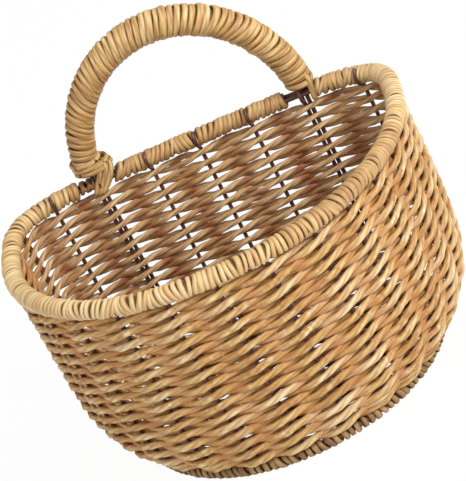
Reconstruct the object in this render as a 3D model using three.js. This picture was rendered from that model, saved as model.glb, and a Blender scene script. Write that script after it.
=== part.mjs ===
// Half-round wall basket: a frame of bent wire hoops, woven round with pairs of twined strands,
// with a lashed rim, a lashed foot border and a lashed arch handle. Millimetres, +Z up.
// The flat back faces +Y, the bulging front faces -Y.
import * as THREE from 'three';
import { mergeVertices } from 'three/addons/utils/BufferGeometryUtils.js';

// Rim and foot plans, on their centrelines. The foot is given by how far it stands in from the rim.
const RIM_HALF_WIDTH = 143.5;
const RIM_DEPTH = 197;
const RIM_CORNER_DEPTH = 61;
const RIM_BACK_POWER = 4.2;
const RIM_FRONT_POWER = 2.1;
const FOOT_SIDE_INSET = 33.5;
const FOOT_FRONT_INSET = 7;
const FOOT_SETBACK = 2;
const FOOT_CORNER_EXTRA = 25;
const FOOT_BACK_POWER = 3.4;
const FOOT_FRONT_POWER = 2;

// Wall
const RIM_HEIGHT = 158;
const TUCK_POWER = 10;
const PROFILE_STEPS = 8;
const PROFILE_CROWDING = 2.1;

// Wires. The uprights stand unevenly: each stretch of the rim, from the middle of the back past +X,
// holds so many of them and ends at a share of the way round.
const UPRIGHT_STRETCHES = [
  { count: 2, end: 0.0995 },
  { count: 1, end: 0.155 },
  { count: 7, end: 0.411 },
  { count: 5, end: 0.632 },
  { count: 6, end: 0.861 },
  { count: 3, end: 1 },
];
const THROUGH_HOOPS = 7;
const WIRE_RADIUS = 1.5;
const WIRE_GAP = 0.3;
const WIRE_SIDES = 5;
const HOOP_BEND = 3.5;
const HOOP_BEND_STEPS = 3;

// Twined weave
const WEAVE_ROWS = 16;
const CLIMB_START = 3;
const CLIMB_SPAN = 2;
const WEAVER_LENGTHS = 4;
const STRAND_APEX = 2.2;
const STRAND_FLAT = 1.3;
const STRAND_HALF_WIDTH = 1.7;
const STRAND_INNER_RISE = 0.9;
const STRAND_GAP = 0.3;
const STRAND_END_GAP = 1.2;
const RIM_TO_WEAVE = 2.2;
const FOOT_TO_WEAVE = 1.4;
const BESIDE_LEG_SPREAD = 1.3;

// Rim lashing
const RIM_LASH_RADIUS = 7;
const RIM_LASH_FLATTENING = 0.93;
const RIM_BORE_WIDTH = 5.7;
const RIM_BORE_HEIGHT = 4.2;
const RIM_SLOT_ANGLE = 17;
const RIM_BORE_SLOT_ANGLE = 25;
const RIM_SIDE_FACET_ANGLE = 20;
const RIM_TOP_FACETS = 4;
const RIM_BORE_FACETS = 5;

// Foot border lashing: a trough round the foot ring
const FOOT_RING_HEIGHT = 5.5;
const FOOT_LASH_HALF_WIDTH = 5.2;
const FOOT_LASH_REST_HALF_WIDTH = 3.2;
const FOOT_LASH_OUTER_TOP = 8.3;
const FOOT_LASH_INNER_TOP = 5.8;
const FOOT_LASH_OUTER_BEVEL_WIDTH = 1.2;
const FOOT_LASH_OUTER_BEVEL_HEIGHT = 2;
const FOOT_LASH_INNER_BEVEL_WIDTH = 0.9;
const FOOT_LASH_INNER_BEVEL_HEIGHT = 1.4;
const FOOT_LASH_LIP_FALL = 0.6;
const FOOT_TROUGH_HALF_WIDTH = 2.9;
const FOOT_RING_BED_GAP = 0.8;

// Handle
const HANDLE_RISE = 92;
const HANDLE_FOOT_UPRIGHT = 2;
const HANDLE_WIRE_RADIUS = 1.6;
const HANDLE_LEG_OFFSET = 3.7;
const HANDLE_LEG_END = 30;
const HANDLE_PADDING_RADIUS = 7.4;
const HANDLE_PADDING_SIDES = 7;
const HANDLE_BORE_RADIUS = 2.5;
const HANDLE_BORE_SIDES = 5;
const HANDLE_FOOT_CLEARANCE = 8.5;
const HANDLE_STEPS = 24;
const LASH_TURNS = 54;
const LASH_STEPS_PER_TURN = 6;
const LASH_APEX = 1.1;
const LASH_FLAT = 0.9;
const LASH_HALF_WIDTH = 1.75;
const LASH_END_RUN = 4;
const RIGHT_FOOT_BARE_INNER = 13.4;
const RIGHT_FOOT_BARE_OUTER = 4.6;
const LEFT_FOOT_BARE_INNER = 15.6;
const LEFT_FOOT_BARE_OUTER = 11.2;

// Woven floor
const FLOOR_PASSES = 17;
const FLOOR_STRAND_RADIUS = 2;
const FLOOR_STRAND_SIDES = 4;
const FLOOR_EDGE_MARGIN = 9;
const FLOOR_TURN = 4.4;
const FLOOR_BORDER_GAP = 0.6;

// Sampling
const PLAN_DIVISIONS = 2400;
const ARCH_DIVISIONS = 600;
const FOOT_OUTLINE_POINTS = 160;
const STEP_ROUND = 0.002;
const STEP_UP = 2;
const SHORTEST_BAND_STEP = 0.005;
const BAND_TURN = 0.195;
const WELD_TOLERANCE = 1e-5;

const straw = new THREE.MeshStandardMaterial({ color: 0xcaa877, roughness: 0.62, metalness: 0 });
const goldenStrand = new THREE.MeshStandardMaterial({ color: 0xb68d5a, roughness: 0.6, metalness: 0 });
const brownStrand = new THREE.MeshStandardMaterial({ color: 0xa0764a, roughness: 0.62, metalness: 0 });
const paintedWire = new THREE.MeshStandardMaterial({ color: 0x4a3434, roughness: 0.45, metalness: 0.3 });
const cane = new THREE.MeshStandardMaterial({ color: 0xa98658, roughness: 0.7, metalness: 0 });

const up = new THREE.Vector3(0, 0, 1);

// A closed half-round plan: two superellipse halves that meet where the plan is widest.
// It runs from the middle of the back past +X to the front and on past -X.
class HalfRoundPlan extends THREE.Curve {
  constructor({ halfWidth, depth, back, cornerDepth, backPower, frontPower }) {
    super();
    Object.assign(this, { halfWidth, depth, back, cornerDepth, backPower, frontPower });
    this.arcLengthDivisions = PLAN_DIVISIONS;
  }

  getPoint(t, target = new THREE.Vector3()) {
    const angle = 2 * Math.PI * t;
    const across = Math.sin(angle);
    const along = Math.cos(angle);
    const power = along > 0 ? this.backPower : this.frontPower;
    const reach = along > 0 ? this.cornerDepth : this.depth - this.cornerDepth;
    const x = Math.sign(across) * this.halfWidth * Math.abs(across) ** (2 / power);
    const y = this.back - this.cornerDepth + Math.sign(along) * reach * Math.abs(along) ** (2 / power);
    return target.set(x, y, 0);
  }

  halfWidthAt(y) {
    const along = y - this.back + this.cornerDepth;
    const power = along > 0 ? this.backPower : this.frontPower;
    const reach = along > 0 ? this.cornerDepth : this.depth - this.cornerDepth;
    const share = Math.min(Math.abs(along) / reach, 1);
    return this.halfWidth * (1 - share ** power) ** (1 / power);
  }
}

const rimPlan = new HalfRoundPlan({
  halfWidth: RIM_HALF_WIDTH,
  depth: RIM_DEPTH,
  back: 0,
  cornerDepth: RIM_CORNER_DEPTH,
  backPower: RIM_BACK_POWER,
  frontPower: RIM_FRONT_POWER,
});
const footPlan = new HalfRoundPlan({
  halfWidth: RIM_HALF_WIDTH - FOOT_SIDE_INSET,
  depth: RIM_DEPTH - FOOT_SETBACK - FOOT_FRONT_INSET,
  back: -FOOT_SETBACK,
  cornerDepth: RIM_CORNER_DEPTH + FOOT_CORNER_EXTRA,
  backPower: FOOT_BACK_POWER,
  frontPower: FOOT_FRONT_POWER,
});
const rimLength = rimPlan.getLength();

// Heights where the wall is knotted: the floor wires lie at the lowest, the rim at the highest.
const floorWireHeight = FOOT_RING_HEIGHT + 2 * WIRE_RADIUS + WIRE_GAP;
const wallKnots = Array.from({ length: PROFILE_STEPS + 1 }, (_, i) => {
  const rise = (i / PROFILE_STEPS) ** PROFILE_CROWDING;
  return {
    height: floorWireHeight + rise * (RIM_HEIGHT - floorWireHeight),
    spread: 1 - (1 - rise) ** TUCK_POWER,
  };
});

const wrap = (u) => ((u % 1) + 1) % 1;

const uprightCount = UPRIGHT_STRETCHES.reduce((sum, { count }) => sum + count, 0);

// Where an upright stands, as a share of the way round; a number between two whole ones lies between
// their uprights.
function uprightAt(number) {
  let rest = number - Math.floor(number / uprightCount) * uprightCount;
  let start = 0;
  for (const { count, end } of UPRIGHT_STRETCHES) {
    if (rest <= count) return start + ((end - start) * rest) / count;
    rest -= count;
    start = end;
  }
  return start;
}

// How far the wall has opened from the foot plan (0) to the rim plan (1) at a height.
function wallSpread(height) {
  const last = wallKnots.length - 1;
  if (height <= wallKnots[0].height) return wallKnots[0].spread;
  if (height >= wallKnots[last].height) return wallKnots[last].spread;
  const above = wallKnots.findIndex((knot) => knot.height >= height);
  const low = wallKnots[above - 1];
  const high = wallKnots[above];
  const share = (height - low.height) / (high.height - low.height);
  return THREE.MathUtils.lerp(low.spread, high.spread, share);
}

// A point of the wall's middle surface, u round the basket from the middle of the back.
function wallPoint(u, height) {
  const point = footPlan.getPointAt(wrap(u));
  point.lerp(rimPlan.getPointAt(wrap(u)), wallSpread(height));
  point.z = height;
  return point;
}

// Directions at a point of the wall: along the row, up the wall and out of the basket.
function wallFrame(u, height) {
  const along = wallPoint(u + STEP_ROUND, height).sub(wallPoint(u - STEP_ROUND, height)).normalize();
  const rising = wallPoint(u, height + STEP_UP).sub(wallPoint(u, height - STEP_UP)).normalize();
  const out = new THREE.Vector3().crossVectors(rising, along).normalize();
  rising.crossVectors(along, out).normalize();
  return { along, rising, out };
}

// Joins rings of equally many points into one closed body; its ends are capped unless it is a loop.
// Each face between two rings is split along one diagonal, or along the other one for crossSplit faces.
function loft(rings, isLoop, section, crossSplit) {
  const sides = rings[0].length;
  const index = [];
  const spans = isLoop ? rings.length : rings.length - 1;
  for (let i = 0; i < spans; i++) {
    const next = (i + 1) % rings.length;
    for (let k = 0; k < sides; k++) {
      const m = (k + 1) % sides;
      const [a, b, c, d] = [i * sides + k, i * sides + m, next * sides + m, next * sides + k];
      if (crossSplit.includes(k)) index.push(a, b, d, b, c, d);
      else index.push(a, b, c, a, c, d);
    }
  }
  if (!isLoop) {
    const flat = section.map(([x, y]) => new THREE.Vector2(x, y));
    const turnsLeft = !THREE.ShapeUtils.isClockWise(flat);
    const top = (rings.length - 1) * sides;
    for (const [a, b, c] of THREE.ShapeUtils.triangulateShape(flat, [])) {
      const faces = turnsLeft ? [a, b, c] : [a, c, b];
      index.push(faces[0], faces[2], faces[1]);
      index.push(top + faces[0], top + faces[1], top + faces[2]);
    }
  }
  const geometry = new THREE.BufferGeometry();
  const values = rings.flat().flatMap((point) => point.toArray());
  geometry.setAttribute('position', new THREE.Float32BufferAttribute(values, 3));
  geometry.setIndex(index);
  return facingOut(geometry);
}

// Turns a closed body's faces outward, which its signed volume tells.
function facingOut(geometry) {
  const position = geometry.getAttribute('position');
  const index = geometry.getIndex();
  const corners = [new THREE.Vector3(), new THREE.Vector3(), new THREE.Vector3()];
  let volume = 0;
  for (let i = 0; i < index.count; i += 3) {
    corners.forEach((corner, k) => corner.fromBufferAttribute(position, index.getX(i + k)));
    volume += corners[0].dot(corners[1].clone().cross(corners[2]));
  }
  if (volume < 0) {
    for (let i = 0; i < index.count; i += 3) {
      const second = index.getX(i + 1);
      index.setX(i + 1, index.getX(i + 2));
      index.setX(i + 2, second);
    }
  }
  return geometry;
}

// Sweeps a section along path stations; each station has a point and the section's two directions.
function sweep(stations, section, isLoop = false, crossSplit = []) {
  const rings = stations.map(({ point, side, top }) =>
    section.map(([x, y]) => point.clone().addScaledVector(side, x).addScaledVector(top, y)));
  return loft(rings, isLoop, section, crossSplit);
}

function polygon(sides, radius) {
  return Array.from({ length: sides }, (_, k) => {
    const angle = (2 * Math.PI * (k + 0.5)) / sides;
    return [radius * Math.cos(angle), radius * Math.sin(angle)];
  });
}

// A strand's section: a flat face towards what it wraps, and a ridge away from it.
const ridged = (apex, flat, halfWidth) => [[apex, 0], [-flat, halfWidth], [-flat, -halfWidth]];
const RIDGED_FLAT_FACE = 1;

// Stations for a wire through a list of points, square to the path at each of them.
function wireStations(points, sideways) {
  return points.map((point, i) => {
    const before = points[Math.max(i - 1, 0)];
    const after = points[Math.min(i + 1, points.length - 1)];
    const arriving = point.clone().sub(before).normalize();
    const leaving = after.clone().sub(point).normalize();
    const tangent = arriving.add(leaving).normalize();
    const side = sideways.clone().addScaledVector(tangent, -sideways.dot(tangent)).normalize();
    const top = new THREE.Vector3().crossVectors(tangent, side);
    return { point, side, top };
  });
}

const basket = new THREE.Group();

function addPiece(name, geometry, material) {
  const welded = mergeVertices(geometry, WELD_TOLERANCE);
  welded.computeVertexNormals();
  const mesh = new THREE.Mesh(welded, material);
  mesh.name = name;
  basket.add(mesh);
}

const sideName = (sign) => (sign > 0 ? 'right' : 'left');

// The points of an upright, from the rim down to the lowest knot of the wall.
function uprightPoints(number) {
  const top = RIM_HEIGHT + WIRE_RADIUS;
  const heights = wallKnots.map((knot) => knot.height).reverse();
  heights[0] = top;
  return heights.map((height) => wallPoint(uprightAt(number), height));
}

// One hoop: down the back wall, across the floor and up the front wall.
function hoopPoints(backNumber, frontNumber) {
  const down = uprightPoints(backNumber);
  const rise = uprightPoints(frontNumber).reverse();
  const backCorner = down.pop();
  const frontCorner = rise.shift();
  const run = frontCorner.clone().sub(backCorner).normalize();
  const bends = [
    [down[down.length - 1], backCorner, backCorner.clone().addScaledVector(run, HOOP_BEND)],
    [frontCorner.clone().addScaledVector(run, -HOOP_BEND), frontCorner, rise[0]],
  ];
  const bend = (ends) => new THREE.QuadraticBezierCurve3(...ends).getPoints(HOOP_BEND_STEPS);
  const [atBack, atFront] = bends.map(bend);
  return [...down, ...atBack.slice(1), ...atFront.slice(0, -1), ...rise];
}

// The floor wires, kept for the floor's weave: each as its two ends.
const floorWires = [];

function addHoops() {
  const reach = (THROUGH_HOOPS - 1) / 2;
  const half = uprightCount / 2;
  const section = polygon(WIRE_SIDES, WIRE_RADIUS);
  for (let k = -reach; k <= reach; k++) {
    const front = half - k;
    const points = hoopPoints(k, front);
    const run = wallPoint(uprightAt(front), floorWireHeight).sub(wallPoint(uprightAt(k), floorWireHeight));
    const sideways = new THREE.Vector3().crossVectors(run, up).normalize();
    const name = k === 0 ? 'frame_hoop_centre' : `frame_hoop_${sideName(k)}_${Math.abs(k)}`;
    addPiece(name, sweep(wireStations(points, sideways), section), paintedWire);
    floorWires.push({
      back: wallPoint(uprightAt(k), floorWireHeight),
      front: wallPoint(uprightAt(front), floorWireHeight),
    });
  }
  for (let number = reach + 1; number < half - reach; number++) {
    for (const sign of [1, -1]) {
      const points = uprightPoints(sign * number);
      const { along } = wallFrame(uprightAt(sign * number), RIM_HEIGHT / 2);
      const name = `side_upright_${sideName(sign)}_${number - reach}`;
      addPiece(name, sweep(wireStations(points, along), section), paintedWire);
    }
  }
}

// The direction of a plan's outline at a share of the way round.
function planTangent(plan, u) {
  const ahead = plan.getPointAt(wrap(u + STEP_ROUND));
  return ahead.sub(plan.getPointAt(wrap(u - STEP_ROUND))).normalize();
}

// Where a band has its stations: at every upright, and closer where the plan turns.
function bandPlaces(plan, from, to) {
  const places = [from];
  const addUpTo = (end) => {
    const start = places[places.length - 1];
    if (planTangent(plan, start).angleTo(planTangent(plan, end)) > BAND_TURN) {
      addUpTo((start + end) / 2);
      addUpTo(end);
    } else places.push(end);
  };
  for (let number = -uprightCount; number < 2 * uprightCount; number++) {
    const place = Math.floor(number / uprightCount) + uprightAt(number);
    if (place > from + SHORTEST_BAND_STEP && place < to - SHORTEST_BAND_STEP) addUpTo(place);
  }
  addUpTo(to);
  return places;
}

// A closed or open band that follows the rim or foot plan, with its section out of the basket and up.
function planBand(plan, from, to, height, offset, section) {
  const isLoop = to - from >= 1;
  const places = bandPlaces(plan, from, to);
  if (isLoop) places.pop();
  const stations = places.map((u) => {
    const side = new THREE.Vector3().crossVectors(up, planTangent(plan, u)).normalize();
    const point = plan.getPointAt(wrap(u)).addScaledVector(side, offset);
    point.z = height;
    return { point, side, top: up };
  });
  return sweep(stations, section, isLoop);
}

function addRings() {
  const wire = polygon(WIRE_SIDES, WIRE_RADIUS);
  const apart = 2 * WIRE_RADIUS + WIRE_GAP;
  addPiece('rim_wire_outer', planBand(rimPlan, 0, 1, RIM_HEIGHT, apart, wire), paintedWire);
  addPiece('rim_wire_inner', planBand(rimPlan, 0, 1, RIM_HEIGHT, -apart, wire), paintedWire);
  addPiece('foot_ring', planBand(footPlan, 0, 1, FOOT_RING_HEIGHT, 0, wire), paintedWire);
}

// The rim lashing's section: a round sleeve, open below where the uprights come in.
// Its outermost facet stands upright, so the back of the rim lies flat on a wall.
function rimLashSection() {
  const point = (width, height, degrees) => {
    const angle = THREE.MathUtils.degToRad(degrees);
    return [width * Math.cos(angle), height * Math.sin(angle)];
  };
  const topFacet = (180 - 2 * RIM_SIDE_FACET_ANGLE) / RIM_TOP_FACETS;
  const top = Array.from({ length: RIM_TOP_FACETS + 1 }, (_, k) => RIM_SIDE_FACET_ANGLE + k * topFacet);
  const slot = [-90 + RIM_SLOT_ANGLE, 270 - RIM_SLOT_ANGLE];
  const angles = [slot[0], -RIM_SIDE_FACET_ANGLE, ...top, 180 + RIM_SIDE_FACET_ANGLE, slot[1]];
  const skin = angles.map((angle) => point(RIM_LASH_RADIUS, RIM_LASH_RADIUS * RIM_LASH_FLATTENING, angle));
  const inside = (share) => THREE.MathUtils.lerp(270 - RIM_BORE_SLOT_ANGLE, -90 + RIM_BORE_SLOT_ANGLE, share);
  const bore = Array.from({ length: RIM_BORE_FACETS + 1 }, (_, k) =>
    point(RIM_BORE_WIDTH, RIM_BORE_HEIGHT, inside(k / RIM_BORE_FACETS)));
  return [...skin, ...bore];
}

// The foot lashing's section: a trough that holds the foot ring, with a flat underside.
function footLashSection() {
  const bevel = FOOT_LASH_HALF_WIDTH - FOOT_LASH_REST_HALF_WIDTH;
  const bed = FOOT_RING_HEIGHT - WIRE_RADIUS - FOOT_RING_BED_GAP;
  return [
    [-FOOT_LASH_HALF_WIDTH + FOOT_LASH_INNER_BEVEL_WIDTH, FOOT_LASH_INNER_TOP],
    [-FOOT_LASH_HALF_WIDTH, FOOT_LASH_INNER_TOP - FOOT_LASH_INNER_BEVEL_HEIGHT],
    [-FOOT_LASH_HALF_WIDTH, bevel],
    [-FOOT_LASH_REST_HALF_WIDTH, 0],
    [FOOT_LASH_REST_HALF_WIDTH, 0],
    [FOOT_LASH_HALF_WIDTH, bevel],
    [FOOT_LASH_HALF_WIDTH, FOOT_LASH_OUTER_TOP - FOOT_LASH_OUTER_BEVEL_HEIGHT],
    [FOOT_LASH_HALF_WIDTH - FOOT_LASH_OUTER_BEVEL_WIDTH, FOOT_LASH_OUTER_TOP],
    [FOOT_TROUGH_HALF_WIDTH, FOOT_LASH_OUTER_TOP - FOOT_LASH_LIP_FALL],
    [FOOT_TROUGH_HALF_WIDTH, bed],
    [-FOOT_TROUGH_HALF_WIDTH, bed],
    [-FOOT_TROUGH_HALF_WIDTH, FOOT_LASH_INNER_TOP],
  ];
}

// The handle's legs stand beside their uprights, on the side away from the middle.
const rightLegPlace = uprightAt(HANDLE_FOOT_UPRIGHT) + HANDLE_LEG_OFFSET / rimLength;
const leftLegPlace = uprightAt(-HANDLE_FOOT_UPRIGHT) - HANDLE_LEG_OFFSET / rimLength;

// The rim is lashed in two runs, which leave the wires bare at the handle's feet.
function addLashings() {
  const rimSection = rimLashSection();
  const rimRun = (from, to) => planBand(rimPlan, from, to, RIM_HEIGHT, 0, rimSection);
  const share = (length) => length / rimLength;
  const back = rimRun(
    leftLegPlace - 1 + share(LEFT_FOOT_BARE_INNER),
    rightLegPlace - share(RIGHT_FOOT_BARE_INNER),
  );
  const round = rimRun(
    rightLegPlace + share(RIGHT_FOOT_BARE_OUTER),
    leftLegPlace - share(LEFT_FOOT_BARE_OUTER),
  );
  addPiece('rim_lashing_back', back, straw);
  addPiece('rim_lashing_round', round, straw);
  addPiece('foot_lashing', planBand(footPlan, 0, 1, 0, 0, footLashSection()), straw);
}

const lowestRow = FOOT_LASH_OUTER_TOP + FOOT_TO_WEAVE + STRAND_APEX + STRAND_FLAT;
const rimLashBottom = RIM_HEIGHT - RIM_LASH_RADIUS * RIM_LASH_FLATTENING;
const highestRow = rimLashBottom - RIM_TO_WEAVE - STRAND_APEX - STRAND_FLAT;
const rowPitch = (highestRow - lowestRow) / (WEAVE_ROWS - 1);

// How far a strand stands off the wall's middle where it passes each upright: further beside
// a handle leg, and further at a corner, where the strand's straight run would cut into the wire.
const standOffs = Array.from({ length: uprightCount }, (_, number) => {
  const besideLeg = number === HANDLE_FOOT_UPRIGHT || number === uprightCount - HANDLE_FOOT_UPRIGHT;
  const height = wallKnots[Math.floor(PROFILE_STEPS / 4)].height;
  const here = wallPoint(uprightAt(number), height);
  const { along, out } = wallFrame(uprightAt(number), height);
  const falls = [-0.5, 0.5].map((half) => {
    const run = wallPoint(uprightAt(number + half), height).sub(here);
    return -run.dot(out) / Math.abs(run.dot(along));
  });
  const corner = WIRE_RADIUS * Math.max(0, ...falls);
  return WIRE_RADIUS + STRAND_GAP + STRAND_FLAT + corner + (besideLeg ? BESIDE_LEG_SPREAD : 0);
});

function standOff(passed) {
  return standOffs[Math.round(passed) % uprightCount];
}

// The height of the pair once it has passed so many uprights. Each row runs level and
// climbs to the next one where it turns from the back to the right side.
function rowHeight(passed) {
  const since = passed - CLIMB_START;
  const turn = Math.floor(since / uprightCount);
  const climbed = Math.min((since - turn * uprightCount) / CLIMB_SPAN, 1);
  return lowestRow + rowPitch * (turn - 1 + climbed);
}

// A station of one strand of the pair, placed by how many uprights it has passed.
// The pair makes half a turn between neighbouring uprights, so each strand runs
// outside one upright and inside the next, and rises to the right where it is outside.
// Inside the wall it lies a little higher than outside.
function weaveStation(passed, phase) {
  const height = rowHeight(passed);
  const place = uprightAt(passed);
  const { rising, out } = wallFrame(place, height);
  const angle = Math.PI * (passed + phase);
  const atUpright = standOff(passed);
  const crossing = STRAND_FLAT + STRAND_GAP / 2;
  const outward = Math.cos(angle);
  const upward = -Math.sin(angle);
  const point = wallPoint(place, height)
    .addScaledVector(out, atUpright * outward)
    .addScaledVector(rising, crossing * upward - STRAND_INNER_RISE * outward);
  const side = out.clone().multiplyScalar(outward).addScaledVector(rising, upward).normalize();
  const top = rising.clone().multiplyScalar(outward).addScaledVector(out, -upward).normalize();
  return { point, side, top };
}

function addWeavers() {
  const section = ridged(STRAND_APEX, STRAND_FLAT, STRAND_HALF_WIDTH);
  const weaveStart = CLIMB_START + CLIMB_SPAN;
  const weaveEnd = CLIMB_START + WEAVE_ROWS * uprightCount;
  const lengthEnd = (k) => Math.round(THREE.MathUtils.lerp(weaveStart, weaveEnd, k / WEAVER_LENGTHS));
  const endGap = (STRAND_END_GAP / 2 / rimLength) * uprightCount;
  const letters = ['a', 'b'];
  letters.forEach((letter, phase) => {
    for (let k = 0; k < WEAVER_LENGTHS; k++) {
      const isInside = (place) => (Math.round(place) + phase) % 2 === 1;
      const start = lengthEnd(k);
      const end = lengthEnd(k + 1);
      const from = k === 0 || isInside(start) ? start : start + 1;
      const to = k === WEAVER_LENGTHS - 1 || isInside(end) ? end : end + 1;
      const places = [];
      for (let half = Math.round(2 * from); half <= Math.round(2 * to); half++) places.push(half / 2);
      places[0] += endGap;
      places[places.length - 1] -= endGap;
      const stations = places.map((place) => weaveStation(place, phase));
      const strand = sweep(stations, section, false, [RIDGED_FLAT_FACE]);
      addPiece(`weaver_${letter}_${k + 1}`, strand, goldenStrand);
    }
  });
}

// The handle: a wire arch whose legs go down into the wall, cane padding round it, and its lashing.
const rightHead = wallPoint(rightLegPlace, RIM_HEIGHT);
const leftHead = wallPoint(leftLegPlace, RIM_HEIGHT);
const archPoint = (angle) => leftHead.clone()
  .lerp(rightHead, (1 + Math.cos(angle)) / 2)
  .addScaledVector(up, HANDLE_RISE * Math.sin(angle));
const archStart = Math.asin(HANDLE_FOOT_CLEARANCE / HANDLE_RISE);

class HandleArch extends THREE.Curve {
  getPoint(t, target = new THREE.Vector3()) {
    return target.copy(archPoint(THREE.MathUtils.lerp(archStart, Math.PI - archStart, t)));
  }
}

const handleArch = new HandleArch();
handleArch.arcLengthDivisions = ARCH_DIVISIONS;
const backward = new THREE.Vector3(0, 1, 0);

function archStation(t) {
  const tangent = handleArch.getTangentAt(t);
  const top = new THREE.Vector3().crossVectors(tangent, backward);
  return { point: handleArch.getPointAt(t), side: backward, top };
}

function legPoints(place) {
  const heights = wallKnots.map((knot) => knot.height).filter((height) => height > HANDLE_LEG_END);
  heights.unshift(HANDLE_LEG_END);
  return heights.map((height) => wallPoint(place, height));
}

function addHandle() {
  const arch = Array.from({ length: HANDLE_STEPS + 1 }, (_, k) => handleArch.getPointAt(k / HANDLE_STEPS));
  const wirePoints = [...legPoints(rightLegPlace), ...arch, ...legPoints(leftLegPlace).reverse()];
  const wire = sweep(wireStations(wirePoints, backward), polygon(WIRE_SIDES, HANDLE_WIRE_RADIUS));
  addPiece('handle_wire', wire, paintedWire);

  const skin = polygon(HANDLE_PADDING_SIDES, HANDLE_PADDING_RADIUS);
  const bore = polygon(HANDLE_BORE_SIDES, HANDLE_BORE_RADIUS);
  addPiece('handle_padding', sleeve(skin, bore), cane);
  addPiece('handle_lashing', handleLashing(), straw);
}

// A sleeve over the arch: its outer skin and its bore, joined at both ends.
function sleeve(skin, bore) {
  const stations = Array.from({ length: HANDLE_STEPS + 1 }, (_, k) => archStation(k / HANDLE_STEPS));
  const ring = ({ point, side, top }, section) =>
    section.map(([x, y]) => point.clone().addScaledVector(side, x).addScaledVector(top, y));
  const points = [];
  const index = [];
  const tube = (section, flip) => {
    const base = points.length;
    for (const station of stations) points.push(...ring(station, section));
    for (let i = 0; i < stations.length - 1; i++) {
      for (let k = 0; k < section.length; k++) {
        const m = (k + 1) % section.length;
        const a = base + i * section.length;
        const b = a + section.length;
        const faces = [[a + k, a + m, b + m], [a + k, b + m, b + k]];
        for (const [p, q, r] of faces) index.push(p, flip ? r : q, flip ? q : r);
      }
    }
    return base;
  };
  const outer = tube(skin, false);
  const inner = tube(bore, true);
  const contour = skin.map(([x, y]) => new THREE.Vector2(x, y));
  const hole = bore.map(([x, y]) => new THREE.Vector2(x, y));
  const lastSkin = outer + (stations.length - 1) * skin.length;
  const lastBore = inner + (stations.length - 1) * bore.length;
  for (const corners of THREE.ShapeUtils.triangulateShape(contour, [hole])) {
    const near = corners.map((c) => (c < skin.length ? outer + c : inner + c - skin.length));
    const far = corners.map((c) => (c < skin.length ? lastSkin + c : lastBore + c - skin.length));
    index.push(near[0], near[2], near[1]);
    index.push(far[0], far[1], far[2]);
  }
  const geometry = new THREE.BufferGeometry();
  geometry.setAttribute('position', new THREE.Float32BufferAttribute(points.flatMap((p) => p.toArray()), 3));
  geometry.setIndex(index);
  return facingOut(geometry);
}

// The lashing's middle stands clear of the padding where its chords come nearest to it.
const lashRadius = (HANDLE_PADDING_RADIUS + WIRE_GAP) / Math.cos(Math.PI / LASH_STEPS_PER_TURN) + LASH_FLAT;

// One unbroken strand wound round the arch; its ends run straight down towards the rim wires.
function handleLashing() {
  const steps = LASH_TURNS * LASH_STEPS_PER_TURN;
  const stations = [];
  for (let k = 0; k <= steps; k++) {
    const { point, side, top } = archStation(k / steps);
    const angle = (2 * Math.PI * k) / LASH_STEPS_PER_TURN + Math.PI / 2;
    const out = side.clone().multiplyScalar(Math.cos(angle)).addScaledVector(top, Math.sin(angle));
    const along = handleArch.getTangentAt(k / steps);
    stations.push({ point: point.clone().addScaledVector(out, lashRadius), side: out, top: along });
  }
  const first = stations[0];
  const last = stations[stations.length - 1];
  const endRun = (station, direction) => ({
    point: station.point.clone().addScaledVector(station.top, direction * LASH_END_RUN)
      .addScaledVector(station.around, direction * LASH_HALF_WIDTH),
    side: station.side,
    top: station.around,
  });
  for (const station of [first, last]) {
    station.around = new THREE.Vector3().crossVectors(station.top, station.side);
  }
  stations.unshift(endRun(first, -1));
  stations.push(endRun(last, 1));
  reportLeastGap(stations);
  return sweep(stations, ridged(LASH_APEX, LASH_FLAT, LASH_HALF_WIDTH));
}

// Measures the clear distance between neighbouring turns of the handle's lashing, on points.
function reportLeastGap(stations) {
  const rings = stations.map(({ point, side, top }) => {
    const rim = [];
    for (const across of [-1, -0.5, 0, 0.5, 1]) {
      rim.push(point.clone().addScaledVector(side, -LASH_FLAT).addScaledVector(top, across * LASH_HALF_WIDTH));
    }
    rim.push(point.clone().addScaledVector(side, LASH_APEX));
    return rim;
  });
  let least = Infinity;
  const halfTurn = LASH_STEPS_PER_TURN / 2;
  for (let i = 1; i < rings.length - 1; i++) {
    for (let j = i + Math.ceil(halfTurn); j < Math.min(i + 3 * halfTurn, rings.length - 1); j++) {
      for (const p of rings[i]) {
        for (const q of rings[j]) least = Math.min(least, p.distanceTo(q));
      }
    }
  }
  console.log(`handle lashing: ${LASH_TURNS} turns, least gap to itself ${least.toFixed(2)} mm`);
}

// Whether a place on the floor is inside the foot border and clear of its lashing.
const footOutline = footPlan.getSpacedPoints(FOOT_OUTLINE_POINTS);
function isOnFloor(x, y) {
  const place = new THREE.Vector3(x, y, 0);
  const clear = FOOT_LASH_HALF_WIDTH + FLOOR_STRAND_RADIUS + FLOOR_BORDER_GAP;
  const isInside = Math.abs(x) < footPlan.halfWidthAt(y);
  return isInside && footOutline.every((edge) => edge.distanceTo(place) > clear);
}

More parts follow.
